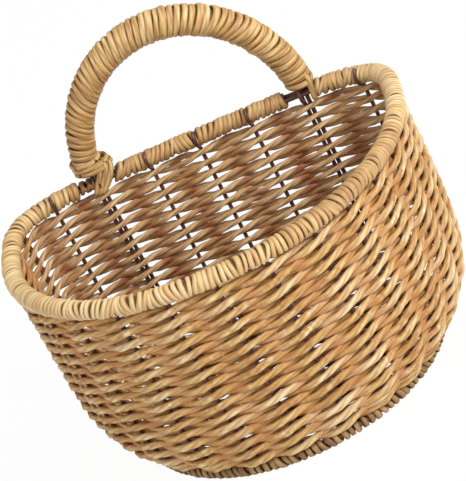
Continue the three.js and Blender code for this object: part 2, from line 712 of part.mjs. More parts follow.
// The floor: one strand woven to and fro over and under the floor wires, turning round the last one.
function floorRow(pass) {
  const middle = floorWires[(THROUGH_HOOPS - 1) / 2];
  const first = middle.back.y - FLOOR_EDGE_MARGIN;
  const last = middle.front.y + FLOOR_EDGE_MARGIN;
  const y = THREE.MathUtils.lerp(first, last, pass / (FLOOR_PASSES - 1));
  const lift = WIRE_RADIUS + WIRE_GAP + FLOOR_STRAND_RADIUS;
  const crossings = floorWires.map(({ back, front }, number) => {
    const share = (y - back.y) / (front.y - back.y);
    const x = THREE.MathUtils.lerp(back.x, front.x, share);
    const side = (number + pass) % 2 === 0 ? 1 : -1;
    const isReached = y > front.y + HOOP_BEND + FLOOR_STRAND_RADIUS;
    const isCrossed = isReached && isOnFloor(x + Math.sign(x) * FLOOR_TURN, y);
    return isCrossed ? [new THREE.Vector3(x, y, floorWireHeight + side * lift)] : [];
  }).flat();
  const left = crossings[0].clone();
  const right = crossings[crossings.length - 1].clone();
  left.x -= FLOOR_TURN;
  right.x += FLOOR_TURN;
  const row = [left, ...crossings, right];
  return pass % 2 === 0 ? row : row.reverse();
}

function addFloorWeave() {
  const points = Array.from({ length: FLOOR_PASSES }, (_, pass) => floorRow(pass)).flat();
  const section = polygon(FLOOR_STRAND_SIDES, FLOOR_STRAND_RADIUS);
  addPiece('floor_weaver', sweep(wireStations(points, up), section), brownStrand);
}

addHoops();
addRings();
addLashings();
addWeavers();
addHandle();
addFloorWeave();

// The basket stands with the middle of its bounding box over the origin and its foot on z = 0.
const bounds = new THREE.Box3().setFromObject(basket);
const middle = bounds.getCenter(new THREE.Vector3());
basket.position.set(-middle.x, -middle.y, -bounds.min.z);
basket.updateMatrixWorld(true);
const size = bounds.getSize(new THREE.Vector3());
const listed = (vector, digits) => vector.toArray().map((value) => value.toFixed(digits)).join(', ');
console.log(`overall ${listed(size, 1)} mm, row pitch ${rowPitch.toFixed(2)} mm`);
console.log(`moved by ${listed(basket.position, 3)} mm`);

export default basket;
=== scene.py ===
"""A half-round wall basket: bent wire hoops, twined strands, lashed rim, foot border and handle."""

from __future__ import annotations

import logging
import math
from collections.abc import Callable, Iterable
from dataclasses import asdict, dataclass, field, fields, replace
from enum import Enum
from functools import cached_property, partial

import bpy
from mathutils import Matrix, Vector, noise


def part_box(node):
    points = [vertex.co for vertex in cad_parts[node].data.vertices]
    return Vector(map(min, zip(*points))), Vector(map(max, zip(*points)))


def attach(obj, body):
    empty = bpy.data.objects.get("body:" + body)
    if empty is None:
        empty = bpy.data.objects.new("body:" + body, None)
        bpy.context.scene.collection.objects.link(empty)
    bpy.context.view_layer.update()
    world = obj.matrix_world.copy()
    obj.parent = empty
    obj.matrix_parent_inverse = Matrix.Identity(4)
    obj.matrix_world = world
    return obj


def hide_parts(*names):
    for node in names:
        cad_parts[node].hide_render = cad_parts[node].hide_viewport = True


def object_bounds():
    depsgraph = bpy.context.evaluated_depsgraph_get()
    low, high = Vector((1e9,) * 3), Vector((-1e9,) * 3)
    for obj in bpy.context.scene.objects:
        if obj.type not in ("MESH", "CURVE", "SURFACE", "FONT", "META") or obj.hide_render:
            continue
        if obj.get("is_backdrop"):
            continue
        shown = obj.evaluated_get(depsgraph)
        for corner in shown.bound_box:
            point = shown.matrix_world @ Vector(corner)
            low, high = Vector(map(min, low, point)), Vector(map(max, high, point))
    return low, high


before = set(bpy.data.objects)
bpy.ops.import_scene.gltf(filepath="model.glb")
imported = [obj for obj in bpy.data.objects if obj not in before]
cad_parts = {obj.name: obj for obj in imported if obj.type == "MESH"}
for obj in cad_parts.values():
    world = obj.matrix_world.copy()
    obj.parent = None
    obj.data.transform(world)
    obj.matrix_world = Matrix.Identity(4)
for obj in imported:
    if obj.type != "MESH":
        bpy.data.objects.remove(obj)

LOG = logging.getLogger("wall_basket")
MM = 0.001
BODY = "root"
HOOPS = 7
UP = Vector((0.0, 0.0, 1.0))
BACKWARD = Vector((0.0, 1.0, 0.0))
# Each stretch of the rim holds so many uprights and ends at a share of the way round.
UPRIGHT_STRETCHES = ((2, 0.0995), (1, 0.155), (7, 0.411), (5, 0.632), (6, 0.861), (3, 1.0))
UPRIGHTS = sum(count for count, _ in UPRIGHT_STRETCHES)
# A wall's directions are measured so far to either side, as a share of the way round.
ROUND_STEP = 0.002
# A closed ring or a run right round the rim has so many points.
RING_STEPS = 240
# What each point of a strand's course can carry, with its usual value.
# The inner mark lays on a redder colour that is partly painted shade, the crossing mark lays on painted
# shade, and a tone set by place also carries painted light and shade.
MARKS = {"girth": 1.0, "inner": 0.0, "crossing": 0.0, "tone": 0.5, "lean": 0.0}
# How fast each unevenness of a winding changes from turn to turn, and where its noise starts.
UNEVENNESS = {"swell": (0.9, 3.0), "slant": (0.16, 9.0), "wander": (1.3, 5.0), "width": (0.77, 2.0)}
# How far apart in the noise two windings with neighbouring seeds lie.
SEED_GAP = 17.3
# A coil has so many points in each turn, and a turn's own width and tone set in this share of it early.
COIL_POINTS = 14
TURN_START = 0.25
# A strand's lumps are drawn out along it: the noise runs at these paces across, through and along.
LUMP_PACES = (1.0, 1.0, 0.45)
# The sizes of strands and windings that are lengths, given in mm.
LENGTHS = {"half_width", "half_depth", "step", "ply_depth", "lay_length", "knobbly", "knobble_size"}
LENGTHS |= {"coil_half_depth", "coil_half_height", "slant", "wander", "swell"}

MATH = "ShaderNodeMath"
VECTOR_MATH = "ShaderNodeVectorMath"
NOISE = "ShaderNodeTexNoise"
RAMP = "ShaderNodeValToRGB"
NAMED = "GeometryNodeInputNamedAttribute"
STORE = "GeometryNodeStoreNamedAttribute"
VECTOR = "FLOAT_VECTOR"

Stops = tuple[tuple[float, float], ...]
Spot = tuple[float, float, float]


def linear(colour: str) -> tuple[float, float, float, float]:
    """Turns an sRGB hex colour into a linear one.

    Args:
        colour: Six hex digits after a hash sign.

    Returns:
        Linear red, green and blue, and an alpha of 1.
    """
    channels = [int(colour[i : i + 2], 16) / 255 for i in (1, 3, 5)]
    red, green, blue = (c / 12.92 if c <= 0.04045 else ((c + 0.055) / 1.055) ** 2.4 for c in channels)
    return red, green, blue, 1.0


def feed(tree: bpy.types.NodeTree, node: bpy.types.Node, sockets: dict | Iterable[object]) -> None:
    """Sets and links a node's inputs.

    Args:
        tree: The node tree that holds the node.
        node: The node.
        sockets: Its inputs in their order, or by name or number, each with a value, or with the
            node or the output that feeds it. A node feeds by its first output.
    """
    for key, value in sockets.items() if isinstance(sockets, dict) else enumerate(sockets):
        source = value.outputs[0] if isinstance(value, bpy.types.Node) else value
        if isinstance(source, bpy.types.NodeSocket):
            tree.links.new(source, node.inputs[key])
        else:
            node.inputs[key].default_value = source


def add_node(
    tree: bpy.types.NodeTree,
    kind: str,
    sockets: dict | Iterable[object] = (),
    stops: Iterable[tuple[float, str]] = (),
    **settings: object,
) -> bpy.types.Node:
    """Adds a node with its settings, socket values and links.

    Args:
        tree: The node tree that takes the node.
        kind: The node's type name.
        sockets: Its inputs, given as feed takes them.
        stops: The places and sRGB hex colours of a ramp's stops.
        **settings: The node's own properties.

    Returns:
        The new node.
    """
    node = tree.nodes.new(kind)
    for name, value in settings.items():
        setattr(node, name, value)
    feed(tree, node, sockets)
    for number, (place, colour) in enumerate(stops):
        elements = node.color_ramp.elements
        element = elements[number] if number < len(elements) else elements.new(place)
        element.position = place
        element.color = linear(colour)
    return node


def start_material(name: str) -> tuple[bpy.types.Material, Callable[..., bpy.types.Node]]:
    """Starts a node material.

    Args:
        name: The material's name.

    Returns:
        The material and the call that adds a node to it.
    """
    material = bpy.data.materials.new(name)
    material.use_nodes = True
    return material, partial(add_node, material.node_tree)


def upright_at(number: float) -> float:
    """Returns where an upright stands, as a share of the way round.

    Args:
        number: The upright's number from the middle of the back; between two whole numbers lies
            the space between their uprights.

    Returns:
        The share of the rim's length, from 0 to 1.
    """
    rest, start = number % UPRIGHTS, 0.0
    for count, end in UPRIGHT_STRETCHES:
        if rest <= count:
            return start + (end - start) * rest / count
        rest -= count
        start = end
    return start


def blend(pair: tuple[float, float], share: float) -> float:
    """Returns the value at a share of the way from the first of a pair to the second."""
    return pair[0] + (pair[1] - pair[0]) * share


def between(stops: Stops, place: float) -> float:
    """Returns the value at a place, drawn straight between stops.

    Args:
        stops: Places in rising order, each with its value.
        place: The place.

    Returns:
        The value, which stays the same before the first stop and after the last.
    """
    for (low, before), (high, after) in zip(stops, stops[1:]):
        if place <= high:
            return before + (after - before) * max(place - low, 0.0) / (high - low)
    return stops[-1][1]


def side_name(sign: int) -> str:
    """Returns the name of a side of the basket."""
    return "right" if sign > 0 else "left"


@dataclass
class HalfRoundPlan:
    """A closed half-round outline, run through from the middle of the back past +X to the front."""

    half_width: float
    depth: float
    back: float
    corner_depth: float
    back_power: float
    front_power: float
    divisions: int = 1600
    lengths: list[float] = field(init=False, repr=False)

    def __post_init__(self) -> None:
        """Measures the outline, so that it can be run through at an even pace."""
        self.lengths = [0.0]
        before = self.raw(0.0)
        for k in range(1, self.divisions + 1):
            here = self.raw(k / self.divisions)
            self.lengths.append(self.lengths[-1] + (here - before).length)
            before = here

    @property
    def length(self) -> float:
        """The outline's length."""
        return self.lengths[-1]

    def part(self, along: float) -> tuple[float, float]:
        """Tells the outline's back part from its front part.

        Args:
            along: A place, above 0 behind the outline's widest point and below 0 in front of it.

        Returns:
            How far that part reaches, and its power.
        """
        if along > 0:
            return self.corner_depth, self.back_power
        return self.depth - self.corner_depth, self.front_power

    def raw(self, share: float) -> Vector:
        """Returns a point of the outline by its angle.

        Args:
            share: The share of the whole angle round.

        Returns:
            The point, at height 0.
        """
        across, along = math.sin(math.tau * share), math.cos(math.tau * share)
        reach, power = self.part(along)
        x = math.copysign(self.half_width * abs(across) ** (2 / power), across)
        y = self.back - self.corner_depth + math.copysign(reach * abs(along) ** (2 / power), along)
        return Vector((x, y, 0.0))

    def at(self, u: float) -> Vector:
        """Returns a point of the outline by its length.

        Args:
            u: The share of the outline's length.

        Returns:
            The point, at height 0.
        """
        wanted = (u % 1.0) * self.length
        low, high = 0, self.divisions
        while high - low > 1:
            middle = (low + high) // 2
            low, high = (middle, high) if self.lengths[middle] <= wanted else (low, middle)
        span = self.lengths[high] - self.lengths[low]
        return self.raw((low + (wanted - self.lengths[low]) / span) / self.divisions)

    def outward(self, u: float) -> Vector:
        """Returns the level direction out of the outline at a share u of its length."""
        tangent = (self.at(u + ROUND_STEP) - self.at(u - ROUND_STEP)).normalized()
        return UP.cross(tangent).normalized()

    def half_width_at(self, y: float) -> float:
        """Returns how far the outline reaches to either side.

        Args:
            y: The place from the front to the back, before the wall is shifted.

        Returns:
            The distance from the middle to the outline.
        """
        along = y - self.back + self.corner_depth
        reach, power = self.part(along)
        share = min(abs(along) / reach, 1.0)
        return self.half_width * (1 - share**power) ** (1 / power)


@dataclass
class WallForm:
    """The middle surface of the basket's wall, between the foot plan and the rim plan, in mm."""

    rim: HalfRoundPlan
    foot: HalfRoundPlan
    shift: Vector
    rim_height: float = 158.0
    foot_ring_height: float = 5.5
    floor_wire_height: float = 8.8
    tuck_power: float = 10.0
    up_step: float = 2.0

    def spread(self, height: float) -> float:
        """Returns how far the wall has opened from the foot plan (0) to the rim plan (1)."""
        rise = (height - self.floor_wire_height) / (self.rim_height - self.floor_wire_height)
        return 1 - (1 - min(max(rise, 0.0), 1.0)) ** self.tuck_power

    def point(self, u: float, height: float) -> Vector:
        """Returns a point of the wall.

        Args:
            u: The share of the way round.
            height: The height.

        Returns:
            The point.
        """
        point = self.foot.at(u).lerp(self.rim.at(u), self.spread(height))
        point.z = height
        return point + self.shift

    def directions(self, u: float, height: float) -> tuple[Vector, Vector]:
        """Works out how the wall stands at a point of it.

        Args:
            u: The share of the way round.
            height: The height.

        Returns:
            The direction up the wall and the direction out of the basket.
        """
        along = (self.point(u + ROUND_STEP, height) - self.point(u - ROUND_STEP, height)).normalized()
        low = max(height - self.up_step, self.floor_wire_height)
        rising = (self.point(u, height + self.up_step) - self.point(u, low)).normalized()
        out = rising.cross(along).normalized()
        return along.cross(out).normalized(), out

    def ring_point(self, plan: HalfRoundPlan, u: float, height: float, offset: float = 0.0) -> Vector:
        """Returns a point beside a plan's outline.

        Args:
            plan: The rim plan or the foot plan.
            u: The share of the way round.
            height: The height.
            offset: How far out of the outline the point lies.

        Returns:
            The point.
        """
        point = plan.at(u) + plan.outward(u) * offset
        point.z = height
        return point + self.shift


@dataclass
class Course:
    """The way one strand or wire runs: its points in mm, and at each of them its facing and marks."""

    points: list[Vector] = field(default_factory=list)
    facings: list[Vector] = field(default_factory=list)
    marks: dict[str, list[float]] = field(default_factory=lambda: {name: [] for name in MARKS})
    closed: bool = False

    def add(self, point: Vector, facing: Vector, **given: float) -> None:
        """Takes one more point at the end of the course.

        Args:
            point: The point.
            facing: The direction that the strand's depth lies along.
            **given: The marks that aren't as usual there.
        """
        self.points.append(point)
        self.facings.append(facing)
        for name, usual in MARKS.items():
            self.marks[name].append(given.get(name, usual))

    @classmethod
    def through(cls, points: Iterable[Vector], facing: Vector) -> Course:
        """Returns a course with the usual marks.

        Args:
            points: Its points in order.
            facing: The way that all of them face.

        Returns:
            The course.
        """
        course = cls()
        for point in points:
            course.add(point, facing)
        return course


class Layout(Enum):
    """What a strand does along its course."""

    ALONG = "laid_along"
    ROUND = "wound_round"


@dataclass(frozen=True)
class TreeSizes:
    """Sizes that a strand tree takes as inputs, under the same names."""

    def values(self) -> dict[str, float]:
        """Returns the sizes by name, with those that are lengths turned from mm to metres."""
        return {name: value * (MM if name in LENGTHS else 1) for name, value in asdict(self).items()}

    @classmethod
    def sockets(cls) -> list[tuple[str, str]]:
        """Returns the name of each size and its kind of socket."""
        kinds = {"float": "NodeSocketFloat", "int": "NodeSocketInt"}
        return [(size.name, kinds[size.type]) for size in fields(cls)]


@dataclass(frozen=True)
class Strand(TreeSizes):
    """The sizes of one kind of strand or wire, in mm.

    The half width lies square to the facing, the half depth along it. The plies are the ridges of
    a twisted strand, which go once round in each lay length. The knobbles are its lumps.
    """

    half_width: float
    half_depth: float
    step: float = 2.5
    sides: int = 12
    plies: int = 0
    ply_depth: float = 0.0
    lay_length: float = 40.0
    knobbly: float = 0.0
    knobble_size: float = 6.0
    seed: int = 1


@dataclass(frozen=True)
class Winding(TreeSizes):
    """How a strand is wound round its core, in mm: its turns and the coil's half sizes.

    The slant tilts the turns in groups, the wander shifts them along, the swell lifts them, and
    the width and tone spreads make some wider or paler than others.
    """

    coil_half_depth: float
    coil_half_height: float
    slant: float
    wander: float
    swell: float
    width_spread: float
    tone_spread: float
    turns: float = 1.0
    start_angle: float = 0.0


class StrandTree:
    """A Geometry Nodes tree that makes closed strands out of the courses that they follow."""

    def __init__(self, layout: Layout) -> None:
        """Builds the tree.

        Args:
            layout: Whether its strands lie along their courses or are wound round them.
        """
        self.tree = bpy.data.node_groups.new(layout.value, "GeometryNodeTree")
        self.add: Callable[..., bpy.types.Node] = partial(add_node, self.tree)
        inputs = [("course", "NodeSocketGeometry"), ("material", "NodeSocketMaterial"), *Strand.sockets()]
        if layout is Layout.ROUND:
            inputs += [("points", "NodeSocketInt"), *Winding.sockets()]
        for name, kind in inputs:
            self.tree.interface.new_socket(name=name, in_out="INPUT", socket_type=kind)
        self.tree.interface.new_socket(name="strands", in_out="OUTPUT", socket_type="NodeSocketGeometry")
        self.given = self.add("NodeGroupInput").outputs

        line = self.add("GeometryNodeMeshToCurve", {"Mesh": self.given["course"]})
        if layout is Layout.ROUND:
            line = self._wound(line)
        line = self.add("GeometryNodeCurveSplineType", {"Curve": line}, spline_type="CATMULL_ROM")
        sockets = {"Curve": line, "Length": self.given["step"]}
        line = self.add("GeometryNodeResampleCurve", sockets, mode="LENGTH")
        facing = self.add(NAMED, ["facing"], data_type=VECTOR)
        line = self.add("GeometryNodeSetCurveNormal", {"Curve": line, "Normal": facing}, mode="FREE")
        run = self.add("GeometryNodeSplineParameter").outputs["Length"]
        line = self.add(STORE, {"Geometry": line, "Name": "run", "Value": run})
        strands = self._shaped(self._swept(line))
        strands = self.add("GeometryNodeSetShadeSmooth", {"Geometry": strands})
        strands = self.add("GeometryNodeRealizeInstances", {"Geometry": strands})
        sockets = {"Geometry": strands, "Material": self.given["material"]}
        self.add("NodeGroupOutput", [self.add("GeometryNodeSetMaterial", sockets)])

    def _uneven(self, kind: str, place: bpy.types.Node) -> bpy.types.Node:
        """Makes a number that wavers from about -1 to 1.

        Args:
            kind: Which unevenness of a winding it is.
            place: The place it changes with, counted in turns.

        Returns:
            The node that gives the number.
        """
        pace, start = UNEVENNESS[kind]
        along = self.add(MATH, [place, pace, start], operation="MULTIPLY_ADD")
        seeded = self.add(MATH, [self.given["seed"], SEED_GAP, along], operation="MULTIPLY_ADD")
        wave = self.add(NOISE, {"W": seeded, "Scale": 1.0}, noise_dimensions="1D")
        return self.add(MATH, [wave, 4.0, -2.0], operation="MULTIPLY_ADD")

    def _wound(self, spine: bpy.types.Node) -> bpy.types.Node:
        """Winds a line's own points round it as a coil.

        Args:
            spine: The node that gives the line.

        Returns:
            The node that gives the coil, with each turn's own tone, girth and facing.
        """
        add, given = self.add, self.given
        spine = add("GeometryNodeResampleCurve", {"Curve": spine, "Count": given["points"]}, mode="COUNT")
        turn = add(MATH, [add("GeometryNodeSplineParameter"), given["turns"]], operation="MULTIPLY")
        angle = add(MATH, [turn, math.tau, given["start_angle"]], operation="MULTIPLY_ADD")
        sine, cosine = (add(MATH, [angle], operation=wave) for wave in ("SINE", "COSINE"))
        girth, tone, lean = (add(NAMED, [mark]) for mark in ("girth", "tone", "lean"))
        facing = add(NAMED, ["facing"], data_type=VECTOR)
        tangent = add("GeometryNodeInputTangent")
        across = add(VECTOR_MATH, [tangent, facing], operation="CROSS_PRODUCT")

        swell = add(MATH, [self._uneven("swell", turn), given["swell"]], operation="MULTIPLY")
        arms = []
        for size, wave, way in (("coil_half_depth", cosine, facing), ("coil_half_height", sine, across)):
            full = add(MATH, [given[size], girth, swell], operation="MULTIPLY_ADD")
            reach = add(MATH, [wave, full], operation="MULTIPLY")
            arms.append(add(VECTOR_MATH, {"Vector": way, "Scale": reach}, operation="SCALE"))
        around = add(VECTOR_MATH, arms, operation="ADD")
        tilt = add(MATH, [self._uneven("slant", turn), given["slant"], lean], operation="MULTIPLY_ADD")
        slanted = add(MATH, [sine, tilt], operation="MULTIPLY")
        wander = self._uneven("wander", turn)
        wandered = add(MATH, [wander, given["wander"], slanted], operation="MULTIPLY_ADD")
        shift = add(VECTOR_MATH, {"Vector": tangent, "Scale": wandered}, operation="SCALE")

        ring = add(MATH, [add(MATH, [turn, TURN_START], operation="ADD")], operation="FLOOR")
        chance = add("FunctionNodeRandomValue", {"ID": ring, "Seed": given["seed"]}, data_type="FLOAT")
        spread = add(MATH, [chance.outputs[1], 0.5], operation="SUBTRACT")
        tone = add(MATH, [spread, given["tone_spread"], tone], operation="MULTIPLY_ADD")
        width = add(MATH, [self._uneven("width", ring), given["width_spread"], 1.0], operation="MULTIPLY_ADD")
        out = add(VECTOR_MATH, [around], operation="NORMALIZE")
        coil = add(STORE, {"Geometry": spine, "Name": "coil", "Value": out}, data_type=VECTOR)
        coil = add(STORE, {"Geometry": coil, "Name": "tone", "Value": tone})
        offset = add(VECTOR_MATH, [around, shift], operation="ADD")
        coil = add("GeometryNodeSetPosition", {"Geometry": coil, "Offset": offset})
        coil = add(STORE, {"Geometry": coil, "Name": "girth", "Value": width})
        out = add(NAMED, ["coil"], data_type=VECTOR)
        return add(STORE, {"Geometry": coil, "Name": "facing", "Value": out}, data_type=VECTOR)

    def _swept(self, line: bpy.types.Node) -> bpy.types.Node:
        """Sweeps the strand's oval section along a line, its depth along the line's facing.

        Args:
            line: The node that gives the line.

        Returns:
            The node that gives the strand. Its points know their place on the section as
            "section_place".
        """
        add, given = self.add, self.given
        circle = add("GeometryNodeCurvePrimitiveCircle", {"Resolution": given["sides"]})
        place = add("GeometryNodeInputPosition")
        circle = add(STORE, {"Geometry": circle, "Name": "section_place", "Value": place}, data_type=VECTOR)
        half = add("ShaderNodeCombineXYZ", [given["half_depth"], given["half_width"]])
        oval = add(VECTOR_MATH, [place, half], operation="MULTIPLY")
        section = add("GeometryNodeSetPosition", {"Geometry": circle, "Position": oval})
        sockets = {"Curve": line, "Profile Curve": section, "Fill Caps": True, "Scale": add(NAMED, ["girth"])}
        return add("GeometryNodeCurveToMesh", sockets)

    def _shaped(self, swept: bpy.types.Node) -> bpy.types.Node:
        """Raises a strand's plies and lumps, and notes on its points how its fibres lie.

        Args:
            swept: The node that gives the smooth strand.

        Returns:
            The node that gives the shaped strand. The attribute "lay" is the place across,
            through and along it, and "groove" is 1 between two plies.
        """
        add, given = self.add, self.given
        place = add("ShaderNodeSeparateXYZ", [add(NAMED, ["section_place"], data_type=VECTOR)]).outputs
        along = add(NAMED, ["run"])
        across = add(MATH, [place[1], given["half_width"]], operation="MULTIPLY")
        through = add(MATH, [place[0], given["half_depth"]], operation="MULTIPLY")
        lay = add("ShaderNodeCombineXYZ", [across, through, along])
        laid = add(STORE, {"Geometry": swept, "Name": "lay", "Value": lay}, data_type=VECTOR)

        around = add(MATH, [place[1], place[0]], operation="ARCTAN2")
        lays = add(MATH, [along, given["lay_length"]], operation="DIVIDE")
        twisted = add(MATH, [lays, math.tau, around], operation="MULTIPLY_ADD")
        wave = add(MATH, [add(MATH, [twisted, given["plies"]], operation="MULTIPLY")], operation="COSINE")
        groove = add(MATH, [wave, -0.5, 0.5], operation="MULTIPLY_ADD")
        laid = add(STORE, {"Geometry": laid, "Name": "groove", "Value": groove})
        ridge = add(MATH, [wave, given["ply_depth"]], operation="MULTIPLY")

        lay = add(NAMED, ["lay"], data_type=VECTOR)
        drawn_out = add(VECTOR_MATH, [lay, LUMP_PACES], operation="MULTIPLY")
        pace = add(MATH, [1.0, given["knobble_size"]], operation="DIVIDE")
        lumps = add(NOISE, {"Vector": drawn_out, "W": given["seed"], "Scale": pace}, noise_dimensions="4D")
        lump = add(MATH, [lumps, 2.0, -1.0], operation="MULTIPLY_ADD")
        raised = add(MATH, [lump, given["knobbly"], ridge], operation="MULTIPLY_ADD")
        normal = add("GeometryNodeInputNormal")
        outward = add(VECTOR_MATH, {"Vector": normal, "Scale": raised}, operation="SCALE")
        return add("GeometryNodeSetPosition", {"Geometry": laid, "Offset": outward})


@dataclass(frozen=True)
class FibreFinish:
    """Split straw or twisted plant fibre, dried, wound by hand and left unvarnished.

    To the eye it is a run of fine fibres from pale to golden, with stretches where the stalk was
    browner or greener, and a soft sheen. Painted shade darkens it to reddish brown where strands
    press together, along their edges and in the grooves between plies, and the inner face of a wall
    takes a redder colour that is partly the fibre's own and partly painted shade with bounce light.
    The widths and runs are in mm.
    """

    name: str
    slot: str
    pale: str
    body: str
    deep: str
    stain: str
    green: str
    # Partly the fibre's own redder colour and partly painted shade with reddish bounce light, laid on the
    # inner face.
    inside: str
    # Painted shade: the dark colour laid on edges, crossings and grooves.
    crevice_shade: str
    # Real fibres are half as wide, which would be too fine to show.
    fibre_width: float = 0.8
    fibre_run: float = 13.0
    patch_width: float = 5.2
    patch_run: float = 26.0
    roughness: float = 0.52
    relief: float = 0.3
    # How much of each colour is laid over the one before it, at most.
    patchy: float = 0.6
    spread: float = 0.55
    # The first share lays on the inside colour, which is partly painted shade; the next three lay painted
    # shade on crossings, edges and grooves.
    inner_shade_share: float = 0.6
    crossing_shade_share: float = 0.75
    edge_shade_share: float = 0.55
    groove_shade_share: float = 0.3
    # How far apart in the noise the palest and the darkest strands have their patches.
    tone_gap: float = 19.0
    groove_sharpness: float = 3.0

    def build(self) -> bpy.types.Material:
        """Builds the node material, which reads the attributes that the strand trees store.

        Returns:
            The material.
        """
        material, add = start_material(self.name)
        read = {}
        for mark in ("lay", "section_place", "tone", "inner", "crossing", "groove"):
            output = "Vector" if mark in ("lay", "section_place") else "Fac"
            read[mark] = add("ShaderNodeAttribute", attribute_name=mark).outputs[output]

        across, along = 1 / (self.fibre_width * MM), 1 / (self.fibre_run * MM)
        drawn_out = add("ShaderNodeMapping", {"Vector": read["lay"], "Scale": (across, across, along)})
        sockets = {"Vector": drawn_out, "Scale": 1.0, "Detail": 3.0, "Roughness": 0.6}
        fibre = add(NOISE, sockets)
        colour = add(RAMP, [fibre], ((0.3, self.deep), (0.5, self.body), (0.7, self.pale)))

        across, along = 1 / (self.patch_width * MM), 1 / (self.patch_run * MM)
        drawn_out = add("ShaderNodeMapping", {"Vector": read["lay"], "Scale": (across, across, along)})
        apart = add(MATH, [read["tone"], self.tone_gap], operation="MULTIPLY")
        sockets = {"Vector": drawn_out, "W": apart, "Scale": 1.0, "Detail": 2.0}
        patches = add(NOISE, sockets, noise_dimensions="4D")
        stops = ((0.33, self.stain), (0.45, self.body), (0.55, self.green), (0.68, self.pale))
        layers = [(self.patchy, add(RAMP, [patches], stops))]

        for start, end, over in ((0.5, 1.0, self.pale), (0.45, 0.0, self.deep)):
            sockets = {"Value": read["tone"], "From Min": start, "From Max": end, "To Max": self.spread}
            layers.append((add("ShaderNodeMapRange", sockets), linear(over)))
        # The inner face takes the inside colour: partly the fibre's own, partly painted shade with reddish
        # bounce light.
        shaded = add(MATH, [read["inner"], self.inner_shade_share], operation="MULTIPLY")
        layers.append((shaded, linear(self.inside)))

        # Painted shade: the dark colour of the creases on the strand's edges, at its crossings and in the
        # grooves between its plies.
        place = add("ShaderNodeSeparateXYZ", [read["section_place"]])
        side = add(MATH, [place.outputs[1]], operation="ABSOLUTE")
        sockets = {"Value": side, "From Min": 0.5, "From Max": 1.0, "To Max": self.edge_shade_share}
        edge = add("ShaderNodeMapRange", sockets)
        crossing_shade = add(MATH, [read["crossing"], self.crossing_shade_share], operation="MULTIPLY")
        narrow = add(MATH, [read["groove"], self.groove_sharpness], operation="POWER")
        groove = add(MATH, [narrow, self.groove_shade_share], operation="MULTIPLY")
        painted_shade = add(MATH, [edge, crossing_shade], operation="MAXIMUM")
        painted_shade = add(MATH, [painted_shade, groove], operation="MAXIMUM")
        layers.append((painted_shade, linear(self.crevice_shade)))

        for share, over in layers:
            # A Mix node takes its share at input 0 and colours at 6 and 7, and gives a colour at 2.
            colour = add("ShaderNodeMix", {0: share, 6: colour, 7: over}, data_type="RGBA").outputs[2]
        bump = add("ShaderNodeBump", {"Height": fibre, "Strength": 0.8, "Distance": self.relief * MM})
        sockets = {"Base Color": colour, "Roughness": self.roughness, "Normal": bump}
        feed(material.node_tree, material.node_tree.nodes["Principled BSDF"], sockets)
        return material


@dataclass(frozen=True)
class WireFinish:
    """Mild steel wire, brush-painted dark: satin paint with thin spots where it has rubbed."""

    name: str
    slot: str
    paint: str
    rubbed: str
    roughness: float = 0.42
    blotch: float = 7.0
    relief: float = 0.2

    def build(self) -> bpy.types.Material:
        """Builds the node material.

        Returns:
            The material.
        """
        material, add = start_material(self.name)
        place = add("ShaderNodeTexCoord").outputs["Object"]
        blotches = add(NOISE, {"Vector": place, "Scale": 1 / (self.blotch * MM), "Detail": 4.0})
        colour = add(RAMP, [blotches], ((0.5, self.paint), (0.72, self.rubbed)))
        bump = add("ShaderNodeBump", {"Height": blotches, "Strength": 0.3, "Distance": self.relief * MM})
        sockets = {"Base Color": colour, "Roughness": self.roughness, "Normal": bump}
        feed(material.node_tree, material.node_tree.nodes["Principled BSDF"], sockets)
        return material


class Finish(Enum):
    """The finishes of the basket."""

    # Split straw, bleached by light and wound tight: yellow, with painted shade along the edges of its turns
    # that draws dark lines between them.
    HANDLE = FibreFinish(
        name="split_straw_handle",
        slot="straw",
        pale="#efd49b",
        body="#cfa365",
        deep="#a3713a",
        stain="#94603a",
        green="#c2a45e",
        inside="#a3723c",
        crevice_shade="#75451f",
        patch_width=3.0,
        patch_run=15.0,
        patchy=0.45,
        edge_shade_share=0.8,
        groove_shade_share=0.5,
    )
    # The same straw on the rim, paler and more even.
    RIM = FibreFinish(
        name="split_straw_rim",
        slot="straw",
        pale="#ecd5a6",
        body="#d9b478",
        deep="#b08450",
        stain="#ad7d4a",
        green="#d0b676",
        inside="#a87743",
        crevice_shade="#85552d",
        patchy=0.5,
        spread=0.75,
        edge_shade_share=0.7,
        groove_shade_share=0.45,
    )
    # Plant fibre twisted into strands: golden, pale on the ridges with painted shade in the grooves, and red
    # brown inside, partly its own colour and partly painted shade with bounce light.
    WALL = FibreFinish(
        name="twisted_fibre",
        slot="golden_strand",
        pale="#f3e0b4",
        body="#cda55e",
        deep="#9e6b2f",
        stain="#985d27",
        green="#c3a359",
        inside="#c58444",
        crevice_shade="#874719",
        inner_shade_share=0.55,
        crossing_shade_share=0.9,
        groove_shade_share=0.7,
    )
    # The same fibre on the foot in darker colours: tan, with nearly black painted shade along the edges of
    # its turns, beside the gaps between them.
    FOOT = FibreFinish(
        name="foot_fibre",
        slot="straw",
        pale="#bd9961",
        body="#97703f",
        deep="#6e4b26",
        stain="#693f21",
        green="#927842",
        inside="#734b25",
        crevice_shade="#38200f",
        edge_shade_share=0.9,
    )
    # Twisted fibre in its darker, reddish brown sort.
    FLOOR = FibreFinish(
        name="floor_fibre",
        slot="brown_strand",
        pale="#c79a62",
        body="#a87443",
        deep="#744722",
        stain="#5f391d",
        green="#8f7342",
        inside="#7e4d28",
        crevice_shade="#4a2711",
    )
    # Raw cane in the shade of the lashings: a dark brown that shows between their turns.
    CANE = FibreFinish(
        name="raw_cane",
        slot="cane",
        pale="#94703f",
        body="#74502c",
        deep="#4f3219",
        stain="#452a15",
        green="#6b5330",
        inside="#4f3219",
        crevice_shade="#3a2412",
    )
    # Satin paint, purple brown, with a warmer brown where it has rubbed thin.
    WIRE = WireFinish(name="painted_steel_wire", slot="painted_wire", paint="#55352f", rubbed="#854f40")


